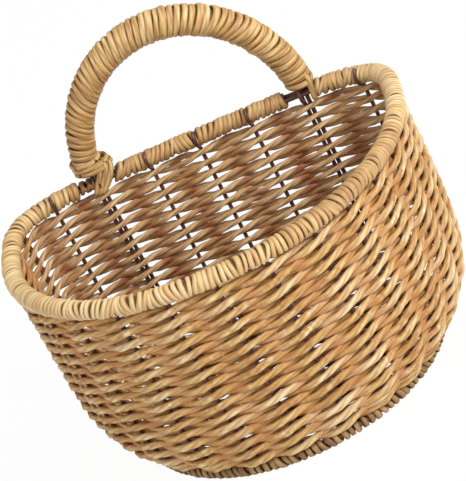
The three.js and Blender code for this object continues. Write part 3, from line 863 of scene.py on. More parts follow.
@dataclass
class Bench:
    """What every sub-assembly is made with: the wall's form, the strand trees and the materials."""

    form: WallForm
    trees: dict[Layout, StrandTree]
    materials: dict[Finish, bpy.types.Material]

    @classmethod
    def set_up(cls, form: WallForm) -> Bench:
        """Returns a bench with the trees and the materials built."""
        trees = {layout: StrandTree(layout) for layout in Layout}
        return cls(form, trees, {finish: finish.value.build() for finish in Finish})

    def make(
        self,
        name: str,
        courses: list[Course],
        strand: Strand,
        finish: Finish,
        *nodes: str,
        winding: Winding | None = None,
    ) -> None:
        """Makes one piece out of the courses that its strands follow, and puts it in the model.

        Args:
            name: The piece's name.
            courses: The ways its strands run.
            strand: The sizes of the strand.
            finish: Its finish.
            *nodes: The solids that it stands for.
            winding: How it is wound round each course, if it is.
        """
        tree = self.trees[Layout.ROUND if winding else Layout.ALONG].tree
        values: dict[str, object] = {"material": self.materials[finish], **strand.values()}
        if winding:
            values |= {**winding.values(), "points": round(winding.turns * COIL_POINTS) + 1}
        piece = self._lines(name, courses)
        modifier = piece.modifiers.new("strands", "NODES")
        modifier.node_group = tree
        for item in tree.interface.items_tree:
            if item.name in values:
                modifier[item.identifier] = values[item.name]
        self._plain(piece)
        self.seat(piece, finish.value.slot, *nodes)

    @staticmethod
    def seat(piece: bpy.types.Object, slot: str, *nodes: str) -> None:
        """Puts a finished piece in the model.

        Args:
            piece: The piece.
            slot: The name of the material slot for its finish; not used.
            *nodes: The solids that it stands for.
        """
        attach(piece, BODY)
        if nodes:
            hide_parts(*nodes)
        LOG.info("%s: %d faces", piece.name, len(piece.data.polygons))

    @staticmethod
    def _lines(name: str, courses: list[Course]) -> bpy.types.Object:
        """Makes an object whose edges run along courses.

        Args:
            name: The object's name.
            courses: The courses.

        Returns:
            The object, whose points carry the courses' facings and marks.
        """
        points: list[Vector] = []
        edges: list[tuple[int, int]] = []
        facings: list[float] = []
        marks: dict[str, list[float]] = {label: [] for label in MARKS}
        for course in courses:
            first, count = len(points), len(course.points)
            points += [point * MM for point in course.points]
            edges += [(first + k, first + k + 1) for k in range(count - 1)]
            if course.closed:
                edges.append((first + count - 1, first))
            facings += [value for facing in course.facings for value in facing]
            for label in MARKS:
                marks[label] += course.marks[label]
        mesh = bpy.data.meshes.new(name)
        mesh.from_pydata(points, edges, [])
        mesh.attributes.new("facing", VECTOR, "POINT").data.foreach_set("vector", facings)
        marks["lean"] = [lean * MM for lean in marks["lean"]]
        for label, values in marks.items():
            mesh.attributes.new(label, "FLOAT", "POINT").data.foreach_set("value", values)
        piece = bpy.data.objects.new(name, mesh)
        bpy.context.scene.collection.objects.link(piece)
        return piece

    @staticmethod
    def _plain(piece: bpy.types.Object) -> None:
        """Turns what a piece's modifier makes into its plain mesh.

        Args:
            piece: The piece, which loses its modifier and its lines.
        """
        evaluated = piece.evaluated_get(bpy.context.evaluated_depsgraph_get())
        mesh = bpy.data.meshes.new_from_object(evaluated)
        lines = piece.data
        piece.modifiers.clear()
        piece.data = mesh
        mesh.name = piece.name
        bpy.data.meshes.remove(lines)


@dataclass
class WireFrame:
    """The bent wire: through hoops, side uprights, rim wires and the foot ring."""

    bench: Bench
    wire: Strand = Strand(half_width=1.5, half_depth=1.5, sides=10, step=3.0)
    rim_wire_offset: float = 3.3
    top_margin: float = 1.5
    upright_steps: int = 28
    # Above 1, an upright's points lie closer together the nearer they are to the foot.
    foot_crowding: float = 1.5
    floor_step: float = 3.5
    hook_half_depth: float = 6.6
    hook_half_height: float = 6.2
    # Where a hook starts and ends round the inner rim wire, in degrees from outside over the top.
    hook_angles: tuple[float, float] = (-100.0, -246.0)
    hook_steps: int = 14
    # Only the uprights of the back show their hooked ends; so many count to each side of the middle.
    hooks_each_side: int = 3
    hook_wire: Strand = Strand(
        half_width=2.0, half_depth=1.3, sides=12, step=1.2, knobbly=0.25, knobble_size=3.0
    )

    def upright(self, number: float) -> list[Vector]:
        """Returns an upright's points from the rim down to the floor wires.

        Args:
            number: The upright's number.

        Returns:
            The points.
        """
        form, points = self.bench.form, []
        low, high = form.floor_wire_height, form.rim_height + self.top_margin
        for k in range(self.upright_steps + 1):
            rise = (1 - k / self.upright_steps) ** self.foot_crowding
            points.append(form.point(upright_at(number), low + rise * (high - low)))
        return points

    def hoop(self, back: int, front: int) -> Course:
        """Returns the course of a hoop: down the back, across the floor and up the front.

        Args:
            back: The number of its upright in the back.
            front: The number of its upright in the front.

        Returns:
            The course, without the two corner points, so that the wire bends round there.
        """
        down, rise = self.upright(back), self.upright(front)[::-1]
        first, last = down.pop(), rise.pop(0)
        across = last - first
        steps = round(across.length / self.floor_step)
        floor = [first + across * (k / steps) for k in range(1, steps)]
        return Course.through(down + floor + rise, across.cross(UP).normalized())

    def hook(self, number: int) -> Course:
        """Returns the course of an upright's end, hooked up over the inner rim wire.

        Args:
            number: The upright's number.

        Returns:
            The course.
        """
        form, u = self.bench.form, upright_at(number)
        middle, out = form.ring_point(form.rim, u, form.rim_height), form.rim.outward(u)
        points = []
        first, last = self.hook_angles
        for k in range(self.hook_steps + 1):
            angle = math.radians(first + (last - first) * k / self.hook_steps)
            reach = out * (self.hook_half_depth * math.cos(angle))
            points.append(middle + reach + UP * (self.hook_half_height * math.sin(angle)))
        return Course.through(points, out.cross(UP))

    def ring(self, plan: HalfRoundPlan, height: float, offset: float) -> Course:
        """Returns the closed course of a ring.

        Args:
            plan: The rim plan or the foot plan.
            height: The ring's height.
            offset: How far out of the plan's outline it runs.

        Returns:
            The course.
        """
        places = [k / RING_STEPS for k in range(RING_STEPS)]
        course = Course.through((self.bench.form.ring_point(plan, u, height, offset) for u in places), UP)
        course.closed = True
        return course

    def build(self) -> None:
        """Makes the hoops, the uprights, their hooked ends and the rings, each in its own piece."""
        form = self.bench.form
        reach, half = (HOOPS - 1) // 2, UPRIGHTS // 2
        for k in range(-reach, reach + 1):
            name = "frame_hoop_centre" if k == 0 else f"frame_hoop_{side_name(k)}_{abs(k)}"
            self.bench.make(f"{name}_wire", [self.hoop(k, half - k)], self.wire, Finish.WIRE, name)
        for number in range(reach + 1, half - reach):
            for sign in (1, -1):
                name = f"side_upright_{side_name(sign)}_{number - reach}"
                _, out = form.directions(upright_at(sign * number), form.rim_height / 2)
                course = Course.through(self.upright(sign * number), out)
                self.bench.make(f"{name}_wire", [course], self.wire, Finish.WIRE, name)
        rings = {
            "rim_wire_outer": self.ring(form.rim, form.rim_height, self.rim_wire_offset),
            "rim_wire_inner": self.ring(form.rim, form.rim_height, -self.rim_wire_offset),
            "foot_ring": self.ring(form.foot, form.foot_ring_height, 0.0),
        }
        for name, course in rings.items():
            self.bench.make(f"{name}_loop", [course], self.wire, Finish.WIRE, name)
        hooks = [self.hook(number) for number in range(-self.hooks_each_side, self.hooks_each_side + 1)]
        self.bench.make("upright_hooks", hooks, self.hook_wire, Finish.WIRE)


@dataclass(frozen=True)
class Passing:
    """Where one strand of a twined pair is at one point of its course.

    The outward share is 1 outside an upright and -1 inside one, and the upward share is 1 or -1
    where the strand crosses its partner. The front share is 0 at the basket's back and 1 at its
    front, and the sway is the place where the strand's unevenness is read in the noise.
    """

    passed: float
    phase: int
    u: float
    height: float
    front: float
    outward: float
    upward: float
    sway: Vector


@dataclass
class TwinedWall:
    """The wall: pairs of strands that twine round each other and take an upright in each half turn."""

    bench: Bench
    rows: int = 16
    lengths: int = 4
    climb_start: int = 3
    climb_span: int = 2
    # How far a place counts as front (1) or back (0), by its share of the way round from the back.
    front_share: Stops = ((0.0, 0.0), (0.13, 0.0), (0.24, 1.0), (0.5, 1.0))
    lowest_row: float = 13.2
    highest_row: float = 145.8
    # How far a strand stands off the wall's middle, and how much further beside a leg of the handle.
    stand_off: float = 2.95
    leg_spread: float = 1.3
    leg_upright: int = 2
    # At a corner of the plan it stands off further: so many mm for each mm that the corner's sides fall
    # away in a mm, measured at this height.
    corner_height: float = 16.9
    corner_ease: float = 1.5
    rise_at_crossing: float = 2.25
    quick_rise: float = 0.3
    # How far the strand outside an upright sits below the middle at the back, and above it at the front.
    tilts: tuple[float, float] = (1.5, 0.75)
    samples: int = 8
    end_gap: float = 1.2
    # The last lengths run on by so many uprights, tucked up under the rim.
    tail: float = 1.5
    tail_rise: float = 3.0
    # How far a strand strays up and down, and which share of that it strays in and out.
    unevenness: float = 0.62
    stray_share: float = 0.6
    # How thick the strand is outside and inside an upright, at the back and at the front.
    outer_girth: tuple[float, float] = (1.0, 1.3)
    inner_girth: tuple[float, float] = (1.0, 1.2)
    crossing_girth: float = 1.16
    girth_spread: float = 0.16
    # How full the strands are by their height, in mm: the rows lie further apart where the wall tucks in.
    fullness: Stops = ((13.2, 1.18), (31.0, 1.1), (58.0, 1.0), (160.0, 1.0))
    tone_spread: float = 0.9
    back_paleness: float = 0.6
    # Painted light: the right side, which faces the key lamp, is made paler.
    right_painted_light: float = 0.09
    # The inner colour at the back and at crossings is partly the fibre's own and partly painted shade.
    back_inner_colour_and_shade: float = 0.5
    crossing_inner_colour_and_shade: float = 0.8
    # How dark the painted shade at the crossings is, how much that varies, and how much less dark it is at
    # the front.
    crossing_shade_strength: float = 0.9
    crossing_shade_spread: float = 0.8
    front_easing: float = 0.6
    crossing_sharpness: int = 4
    # Places in the noise: the pace for each upright, the gap between the two strands and the layer.
    # The stray and the girth are read so far from the sway.
    sway_place: Spot = (0.83, 7.1, 0.0)
    tone_place: Spot = (0.55, 5.7, 21.0)
    stray_layer: Spot = (0.0, 0.0, 9.3)
    girth_layer: Spot = (3.3, 0.0, 0.0)
    girth_pace: float = 0.9
    crossing_shade_pace: float = 1.7
    strand: Strand = Strand(
        half_width=2.0,
        half_depth=1.4,
        step=1.8,
        sides=18,
        plies=3,
        ply_depth=0.29,
        lay_length=44.0,
        knobbly=0.4,
        knobble_size=2.6,
    )
    # Short rows packed in where the wall tucks in above the foot: the first and the last upright.
    packing: tuple[tuple[float, float], ...] = ((2.6, 10.5), (13.5, 21.4))
    packing_height: float = 17.2
    packing_rise: float = 1.7
    packing_strand: Strand = Strand(
        half_width=1.55,
        half_depth=1.15,
        step=1.8,
        sides=14,
        plies=3,
        ply_depth=0.22,
        lay_length=36.0,
        knobbly=0.3,
        knobble_size=2.6,
        seed=9,
    )

    def height(self, passed: float) -> float:
        """Returns the height of the climbing row.

        Args:
            passed: How many uprights it has passed.

        Returns:
            The height.
        """
        since = passed - self.climb_start
        over = since - self.rows * UPRIGHTS
        if over > 0:
            return self.highest_row + self.tail_rise * over / self.tail
        pitch = (self.highest_row - self.lowest_row) / (self.rows - 1)
        turn = math.floor(since / UPRIGHTS)
        climbed = min((since - turn * UPRIGHTS) / self.climb_span, 1.0)
        return self.lowest_row + pitch * (turn - 1 + climbed)

    @cached_property
    def rooms(self) -> list[float]:
        """How far a strand stands off the wall's middle at each upright."""
        legs = (self.leg_upright, UPRIGHTS - self.leg_upright)
        spreads = [self.leg_spread if number in legs else 0.0 for number in range(UPRIGHTS)]
        return [self.stand_off + self.corner_room(k) + spread for k, spread in enumerate(spreads)]

    def corner_room(self, number: int) -> float:
        """Returns how much further a strand stands off an upright at a corner of the plan.

        Args:
            number: The upright's number.

        Returns:
            The extra room.
        """
        form = self.bench.form
        here = form.point(upright_at(number), self.corner_height)
        _, out = form.directions(upright_at(number), self.corner_height)
        falls = [0.0]
        for half in (-0.5, 0.5):
            run = form.point(upright_at(number + half), self.corner_height) - here
            falls.append(-run.dot(out) / (run - out * run.dot(out)).length)
        return self.corner_ease * max(falls)

    def passing(self, passed: float, phase: int, level: float | None) -> Passing:
        """Works out where a strand is.

        Args:
            passed: How many uprights it has passed.
            phase: 0 for the strand that is outside at even uprights, 1 for the other one.
            level: The height of a row that stays level, or None for the climbing row.

        Returns:
            Its place and shares there.
        """
        u, angle = upright_at(passed), math.pi * (passed + phase)
        pace, gap, layer = self.sway_place
        return Passing(
            passed=passed,
            phase=phase,
            u=u,
            height=self.height(passed) if level is None else level,
            front=between(self.front_share, abs((u + 0.5) % 1.0 - 0.5)),
            outward=math.cos(angle),
            upward=-math.sin(angle),
            sway=Vector((passed * pace, gap * phase, layer)),
        )

    def seat(self, here: Passing, rise: float) -> tuple[Vector, Vector]:
        """Places a strand on the wall.

        Args:
            here: Where the strand is.
            rise: How far it rises where it crosses its partner.

        Returns:
            The point, and the direction out of the basket there.
        """
        form = self.bench.form
        rising, out = form.directions(here.u, here.height)
        low = math.floor(here.passed)
        share = here.passed - low
        room = self.rooms[low % UPRIGHTS] * (1 - share) + self.rooms[(low + 1) % UPRIGHTS] * share
        stray = self.stray_share * self.unevenness * noise.noise(here.sway + Vector(self.stray_layer))
        lift = rise * here.upward * (1 + self.quick_rise * here.outward**2)
        tilt = blend(self.tilts, here.front)
        lift += self.unevenness * noise.noise(here.sway) - tilt * out.y * here.outward
        point = form.point(here.u, here.height)
        return point + out * (room * here.outward + stray) + rising * lift, out

    def marks(self, here: Passing, out: Vector) -> dict[str, float]:
        """Works out how thick, dark and pale a strand is: painted shade on its inner face, at the back
        and at crossings, and painted light on its right side.

        Args:
            here: Where the strand is.
            out: The direction out of the basket there.

        Returns:
            The point's marks.
        """
        front, crossing = here.front, here.upward**self.crossing_sharpness
        full = blend(self.outer_girth if here.outward > 0 else self.inner_girth, front)
        girth = self.crossing_girth + (full - self.crossing_girth) * abs(here.outward)
        girth_place = here.sway * self.girth_pace + Vector(self.girth_layer)
        girth *= 1 + self.girth_spread * noise.noise(girth_place)
        girth *= 1 + (between(self.fullness, here.height) - 1) * front
        pace, gap, layer = self.tone_place
        tone_place = Vector((here.passed * pace, gap * here.phase, layer))
        tone = 0.5 + self.tone_spread * noise.noise(tone_place)
        # Painted light: the right side, facing the key lamp, is made paler.
        tone += self.back_paleness * (1 - front) + self.right_painted_light * max(out.x, 0.0) * front
        # Painted shade: the inside colour on the inner face, over the back and at crossings, and the dark
        # crease colour at crossings.
        inner = max(0.5 - 0.5 * here.outward, self.crossing_inner_colour_and_shade * crossing)
        varied = self.crossing_shade_strength + self.crossing_shade_spread * noise.noise(here.sway * self.crossing_shade_pace)
        return {
            "girth": girth,
            "inner": inner * front + self.back_inner_colour_and_shade * (1 - front),
            "crossing": min(crossing * (1 - self.front_easing * front) * varied, 1.0),
            "tone": min(max(tone, 0.0), 1.0),
        }

    def course(self, phase: int, start: float, end: float, level: float | None = None) -> Course:
        """Returns the course of one strand of the pair between two places.

        Args:
            phase: 0 for the strand that is outside at even uprights, 1 for the other one.
            start: The place where it starts, in uprights passed.
            end: The place where it ends.
            level: The height of a packed row, which stays level, or None for the climbing row.

        Returns:
            The course.
        """
        course = Course()
        count = round((end - start) * self.samples)
        for k in range(count + 1):
            here = self.passing(start + (end - start) * k / count, phase, level)
            point, out = self.seat(here, self.rise_at_crossing if level is None else self.packing_rise)
            course.add(point, out, **self.marks(here, out))
        return course

    def joints(self, phase: int) -> list[int]:
        """Returns where the lengths of one strand meet: always inside an upright.

        Args:
            phase: 0 for the strand that is outside at even uprights, 1 for the other one.

        Returns:
            The places in uprights passed, with the strand's two ends.
        """
        first, last = self.climb_start + self.climb_span, self.climb_start + self.rows * UPRIGHTS
        places = []
        for k in range(self.lengths + 1):
            # A place half way between two uprights goes to the next one.
            place = math.floor(first + (last - first) * k / self.lengths + 0.5)
            is_outside = (place + phase) % 2 == 0
            places.append(place + 1 if is_outside and 0 < k < self.lengths else place)
        return places

    def build(self) -> None:
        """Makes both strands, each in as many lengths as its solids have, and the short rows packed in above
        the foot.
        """
        gap = self.end_gap / 2 / self.bench.form.rim.length * UPRIGHTS
        for phase, letter in enumerate("ab"):
            joints = self.joints(phase)
            for k in range(self.lengths):
                tail = self.tail if k == self.lengths - 1 else 0.0
                course = self.course(phase, joints[k] + gap, joints[k + 1] + tail - gap)
                name = f"weaver_{letter}_{k + 1}"
                self.bench.make(f"{name}_strand", [course], self.strand, Finish.WALL, name)
        rows = []
        for first, last in self.packing:
            rows += [self.course(phase, first, last, self.packing_height) for phase in (0, 1)]
        self.bench.make("foot_packing_strands", rows, self.packing_strand, Finish.WALL)


@dataclass
class Handle:
    """The arch handle: its wire, the cane padded round it and the straw wound over that."""

    bench: Bench
    rise: float = 92.0
    foot_upright: int = 2
    leg_offset: float = 3.7
    leg_end: float = 30.0
    leg_steps: int = 14
    arch_steps: int = 96
    # How high over the rim the padding and the lashing start and end.
    right_clearance: float = 8.5
    left_clearance: float = 11.5
    # How far the turns' outer ends run ahead, in mm, by the share of the way from right to left foot.
    leans: Stops = (
        (0.0, 1.8),
        (0.14, 3.6),
        (0.3, 3.8),
        (0.47, 2.6),
        (0.58, 4.8),
        (0.7, 6.2),
        (0.82, 6.2),
        (0.9, 3.2),
        (0.96, 1.2),
        (1.0, 0.0),
    )
    # How full the wound handle is along the same way.
    fullness: Stops = ((0.0, 1.02), (0.2, 1.08), (0.5, 1.12), (0.75, 1.06), (0.9, 1.0), (1.0, 0.9))
    # How pale its straw is (0 to 1) along the same way, as painted light and shade: palest over the top of
    # the arch and darkest at the left foot.
    paleness_and_painted_light: Stops = ((0.0, 0.36), (0.2, 0.5), (0.6, 0.5), (0.8, 0.36), (1.0, 0.22))
    wire: Strand = Strand(half_width=1.6, half_depth=1.6, sides=10, step=3.0)
    padding: Strand = Strand(
        half_width=7.8, half_depth=7.8, step=4.0, sides=20, knobbly=0.3, knobble_size=14.0
    )
    straw: Strand = Strand(
        half_width=2.42,
        half_depth=1.3,
        step=1.9,
        sides=16,
        plies=3,
        ply_depth=0.17,
        lay_length=70.0,
        knobbly=0.3,
        knobble_size=3.4,
        seed=4,
    )
    # The coil lies on the padding.
    winding: Winding = Winding(
        coil_half_depth=padding.half_width + straw.half_depth,
        coil_half_height=padding.half_width + straw.half_depth,
        slant=1.3,
        wander=0.6,
        swell=0.3,
        width_spread=0.22,
        tone_spread=0.6,
        turns=54.0,
        start_angle=math.pi / 2,
    )

    def leg_place(self, sign: int) -> float:
        """Returns where the right leg (1) or the left one (-1) stands, as a share of the way round."""
        place = self.leg_offset / self.bench.form.rim.length
        return upright_at(sign * self.foot_upright) + sign * place

    def leg(self, sign: int) -> list[Vector]:
        """Returns the points of a leg of the wire.

        Args:
            sign: 1 for the right leg, -1 for the left one.

        Returns:
            The points, from the leg's end up to the rim.
        """
        form, points = self.bench.form, []
        for k in range(self.leg_steps + 1):
            height = self.leg_end + (form.rim_height - self.leg_end) * k / self.leg_steps
            points.append(form.point(self.leg_place(sign), height))
        return points

    def spine(self) -> Course:
        """Works out the course along the middle of the arch.

        Returns:
            The course, from the right foot to the left one.
        """
        form = self.bench.form
        right, left = (form.point(self.leg_place(sign), form.rim_height) for sign in (1, -1))
        first = math.asin(self.right_clearance / self.rise)
        last = math.pi - math.asin(self.left_clearance / self.rise)
        marked = {"girth": self.fullness, "lean": self.leans, "tone": self.paleness_and_painted_light}
        course = Course()
        for k in range(self.arch_steps + 1):
            share = k / self.arch_steps
            angle = first + (last - first) * share
            point = left.lerp(right, (1 + math.cos(angle)) / 2) + UP * (self.rise * math.sin(angle))
            course.add(point, BACKWARD, **{mark: between(stops, share) for mark, stops in marked.items()})
        return course

    def build(self) -> None:
        """Makes the wire, the padding and the lashing."""
        spine = self.spine()
        points = self.leg(1) + spine.points + self.leg(-1)[::-1]
        wire = Course.through(points, BACKWARD)
        self.bench.make("handle_arch_wire", [wire], self.wire, Finish.WIRE, "handle_wire")
        self.bench.make("handle_cane_padding", [spine], self.padding, Finish.CANE, "handle_padding")
        name, node = "handle_straw_lashing", "handle_lashing"
        self.bench.make(name, [spine], self.straw, Finish.HANDLE, node, winding=self.winding)


@dataclass(frozen=True)
class Flare:
    """A widened last turn: its middle along the rim from the leg, half sizes, height and tone."""

    middle: float
    half_length: float
    half_depth: float
    height: float
    tone: float


@dataclass(frozen=True)
class Tie:
    """A slanting tie: the side of its leg (1 for right), its tone, and the spots it runs through."""

    side: int
    tone: float
    spots: tuple[Spot, ...]


@dataclass
class FootTies:
    """The straw that ties the handle's feet to the rim: widened last turns and slanting ties.

    Each spot is given from the leg, in mm: along the rim to the basket's right, the height, and
    how far out of the basket.
    """

    bench: Bench
    legs: dict[int, float]
    flares: tuple[Flare, ...] = (
        Flare(4.8, 13.6, 9.6, 169.6, 0.3),
        Flare(4.0, 12.8, 9.8, 173.2, 0.55),
        Flare(1.4, 10.6, 9.6, 176.8, 0.8),
    )
    flare_steps: int = 28
    ties: tuple[Tie, ...] = (
        Tie(
            -1,
            0.4,
            (
                (6.5, 172.0, -5.5),
                (7.9, 167.3, -8.4),
                (2.9, 159.0, -7.0),
                (-1.6, 151.8, -6.0),
                (-2.6, 150.0, -1.0),
            ),
        ),
        Tie(
            -1,
            0.55,
            (
                (9.5, 173.0, -3.5),
                (13.6, 169.2, -7.0),
                (8.0, 159.9, -7.0),
                (1.0, 150.9, -6.0),
                (0.2, 149.6, -1.0),
            ),
        ),
        Tie(
            -1,
            0.7,
            (
                (12.0, 172.0, 0.0),
                (16.9, 168.6, -4.2),
                (12.8, 160.1, -7.0),
                (3.4, 150.6, -6.2),
                (2.6, 149.6, -1.0),
            ),
        ),
        Tie(
            1,
            0.7,
            (
                (2.0, 175.0, -2.0),
                (7.4, 170.6, -7.2),
                (6.9, 163.0, -7.8),
                (5.8, 153.6, -6.4),
                (5.6, 150.4, -1.5),
            ),
        ),
    )
    # Where dark strands bind the rim's bare wires: from the left leg, in mm, and how far they lean.
    bindings: Stops = ((-9.6, 1.6), (-7.2, -2.4), (-4.9, 2.0), (-2.6, -1.4), (-0.6, 0.8))
    binding_half_depth: float = 5.6
    binding_half_height: float = 3.4
    binding_steps: int = 16
    binding_tone: float = 0.3
    dark_strand: Strand = Strand(half_width=1.5, half_depth=1.1, step=1.4, sides=10, knobbly=0.4, seed=5)
    straw: Strand = Strand(
        half_width=2.1,
        half_depth=1.25,
        step=1.6,
        sides=12,
        plies=2,
        ply_depth=0.1,
        lay_length=60.0,
        knobbly=0.25,
        knobble_size=3.0,
        seed=23,
    )

    def place(self, side: int, spot: Spot) -> tuple[Vector, Vector]:
        """Finds a spot.

        Args:
            side: The side of its leg, 1 for right and -1 for left.
            spot: The spot.

        Returns:
            Its point and the direction out of the basket there.
        """
        form = self.bench.form
        along, height, offset = spot
        u = self.legs[side] + along / form.rim.length
        return form.ring_point(form.rim, u, height, offset), form.rim.outward(u)

    def flare(self, flare: Flare) -> Course:
        """Returns the course of one widened turn round the left foot.

        Args:
            flare: The turn's sizes.

        Returns:
            The closed course.
        """
        course = Course(closed=True)
        for k in range(self.flare_steps):
            angle = math.tau * k / self.flare_steps
            along, depth = flare.half_length * math.cos(angle), -flare.half_depth * math.sin(angle)
            point, out = self.place(-1, (flare.middle + along, flare.height, depth))
            facing = out.cross(UP) * (-math.cos(angle) / flare.half_length)
            facing -= out * (math.sin(angle) / flare.half_depth)
            course.add(point, facing.normalized(), tone=flare.tone)
        return course

    def tie(self, tie: Tie) -> Course:
        """Returns the course of one slanting tie.

        Args:
            tie: The tie.

        Returns:
            The course.
        """
        course = Course()
        for spot in tie.spots:
            point, out = self.place(tie.side, spot)
            course.add(point, out, tone=tie.tone)
        return course

    def binding(self, along: float, lean: float) -> Course:
        """Returns the course of one turn round the rim's bare wires beside the left foot.

        Args:
            along: Its place along the rim from the left leg.
            lean: How far its upper end runs ahead.

        Returns:
            The closed course.
        """
        course = Course(closed=True)
        for k in range(self.binding_steps):
            angle = math.tau * k / self.binding_steps
            offset, rise = math.cos(angle), math.sin(angle)
            height = self.bench.form.rim_height + self.binding_half_height * rise
            point, out = self.place(-1, (along + lean * rise, height, self.binding_half_depth * offset))
            facing = (out * offset + UP * rise).normalized()
            course.add(point, facing, tone=self.binding_tone, inner=1.0)
        return course

    def build(self) -> None:
        """Makes the widened turns and the ties as one piece, and the bindings as another."""
        courses = [self.flare(flare) for flare in self.flares] + [self.tie(tie) for tie in self.ties]
        self.bench.make("handle_foot_ties", courses, self.straw, Finish.HANDLE)
        bindings = [self.binding(along, lean) for along, lean in self.bindings]
        self.bench.make("rim_wire_bindings", bindings, self.dark_strand, Finish.FLOOR)


@dataclass
class RimLashing:
    """The rim: straw wound close over the rim wires, in two runs with the handle's feet between them.

    The bare lengths are what each run leaves free beside a leg: the back run on the inner side,
    towards the middle of the back, and the run round the front on the outer side.
    """

    bench: Bench
    legs: dict[int, float]
    left_bare_inner: float = 15.6
    left_bare_outer: float = 11.2
    right_bare_inner: float = 13.4
    right_bare_outer: float = 4.6
    pitch: float = 3.85
    core_inset: float = 2.0
    fewest_steps: int = 8
    # How far the turns' upper ends run ahead, in mm, by the share of the way from the middle of the
    # back, at 0, to the middle of the front, at 0.5.
    leans: Stops = ((0.0, 2.3), (0.1, 2.3), (0.17, 0.8), (0.3, -0.6), (0.5, -1.1))
    # How pale the straw is (0 to 1), by the share of the full way round past the basket's right.
    # The stops paint light and shade over the straw's own paleness, such as the dark back run, which lies in
    # shade.
    paleness_and_painted_light: Stops = (
        (0.0, 0.04),
        (0.1, 0.1),
        (0.15, 0.5),
        (0.22, 0.95),
        (0.3, 0.1),
        (0.42, 0.12),
        (0.5, 0.6),
        (0.75, 0.76),
        (0.84, 0.45),
        (0.9, 0.08),
        (1.0, 0.04),
    )
    core: Strand = Strand(half_width=4.7, half_depth=5.0, sides=16, step=5.0)
    straw: Strand = Strand(
        half_width=1.95,
        half_depth=1.35,
        step=1.8,
        sides=14,
        plies=2,
        ply_depth=0.18,
        lay_length=70.0,
        knobbly=0.3,
        knobble_size=3.0,
        seed=7,
    )
    winding: Winding = Winding(
        coil_half_depth=5.5,
        coil_half_height=5.15,
        slant=3.8,
        wander=0.5,
        swell=0.22,
        width_spread=0.32,
        tone_spread=0.5,
    )

    def run(self, start: float, end: float, inset: float) -> Course:
        """Returns the course of one run of the rim.

        Args:
            start: The share of the way round where the run starts.
            end: The share where it ends.
            inset: How far the course is drawn in at both ends, in mm.

        Returns:
            The course.
        """
        form = self.bench.form
        start, end = start + inset / form.rim.length, end - inset / form.rim.length
        steps = max(self.fewest_steps, round((end - start) * RING_STEPS))
        course = Course()
        for k in range(steps + 1):
            u = start + (end - start) * k / steps
            lean = between(self.leans, abs((u + 0.5) % 1.0 - 0.5))
            point, out = form.ring_point(form.rim, u, form.rim_height), form.rim.outward(u)
            course.add(point, out, lean=lean, tone=between(self.paleness_and_painted_light, u % 1.0))
        return course

    def build(self) -> None:
        """Makes the lashing and what it is wound round, for both runs."""
        length = self.bench.form.rim.length
        left, right = self.legs[-1], self.legs[1]
        runs = {
            "back": (left - 1 + self.left_bare_inner / length, right - self.right_bare_inner / length),
            "round": (right + self.right_bare_outer / length, left - self.left_bare_outer / length),
        }
        for name, (start, end) in runs.items():
            core = self.run(start, end, self.core_inset)
            self.bench.make(f"rim_core_{name}", [core], self.core, Finish.CANE)
            winding = replace(self.winding, turns=round((end - start) * length / self.pitch))
            course, node = self.run(start, end, self.straw.half_width), f"rim_lashing_{name}"
            self.bench.make(f"{node}_straw", [course], self.straw, Finish.RIM, node, winding=winding)


@dataclass
class FootBorder:
    """The border round the foot: strands wound over the foot ring in spaced turns."""

    bench: Bench
    pitch: float = 5.1
    lean: float = 0.4
    core: Strand = Strand(half_width=2.5, half_depth=2.9, sides=14, step=5.0)
    straw: Strand = Strand(
        half_width=2.15,
        half_depth=1.4,
        step=1.9,
        sides=12,
        plies=3,
        ply_depth=0.14,
        lay_length=50.0,
        knobbly=0.3,
        knobble_size=3.0,
        seed=11,
    )
    winding: Winding = Winding(
        coil_half_depth=4.2,
        coil_half_height=3.5,
        slant=1.2,
        wander=0.9,
        swell=0.12,
        width_spread=0.2,
        tone_spread=0.6,
    )

    def build(self) -> None:
        """Makes the border's core and its lashing, which stands on the floor."""
        form = self.bench.form
        centre = self.winding.coil_half_height + self.straw.half_depth
        course = Course(closed=True)
        for k in range(RING_STEPS):
            u = k / RING_STEPS
            course.add(form.ring_point(form.foot, u, centre), form.foot.outward(u), lean=self.lean)
        self.bench.make("foot_core", [course], self.core, Finish.WIRE)
        winding = replace(self.winding, turns=round(form.foot.length / self.pitch))
        name, node = "foot_lashing_straw", "foot_lashing"
        self.bench.make(name, [course], self.straw, Finish.FOOT, node, winding=winding)


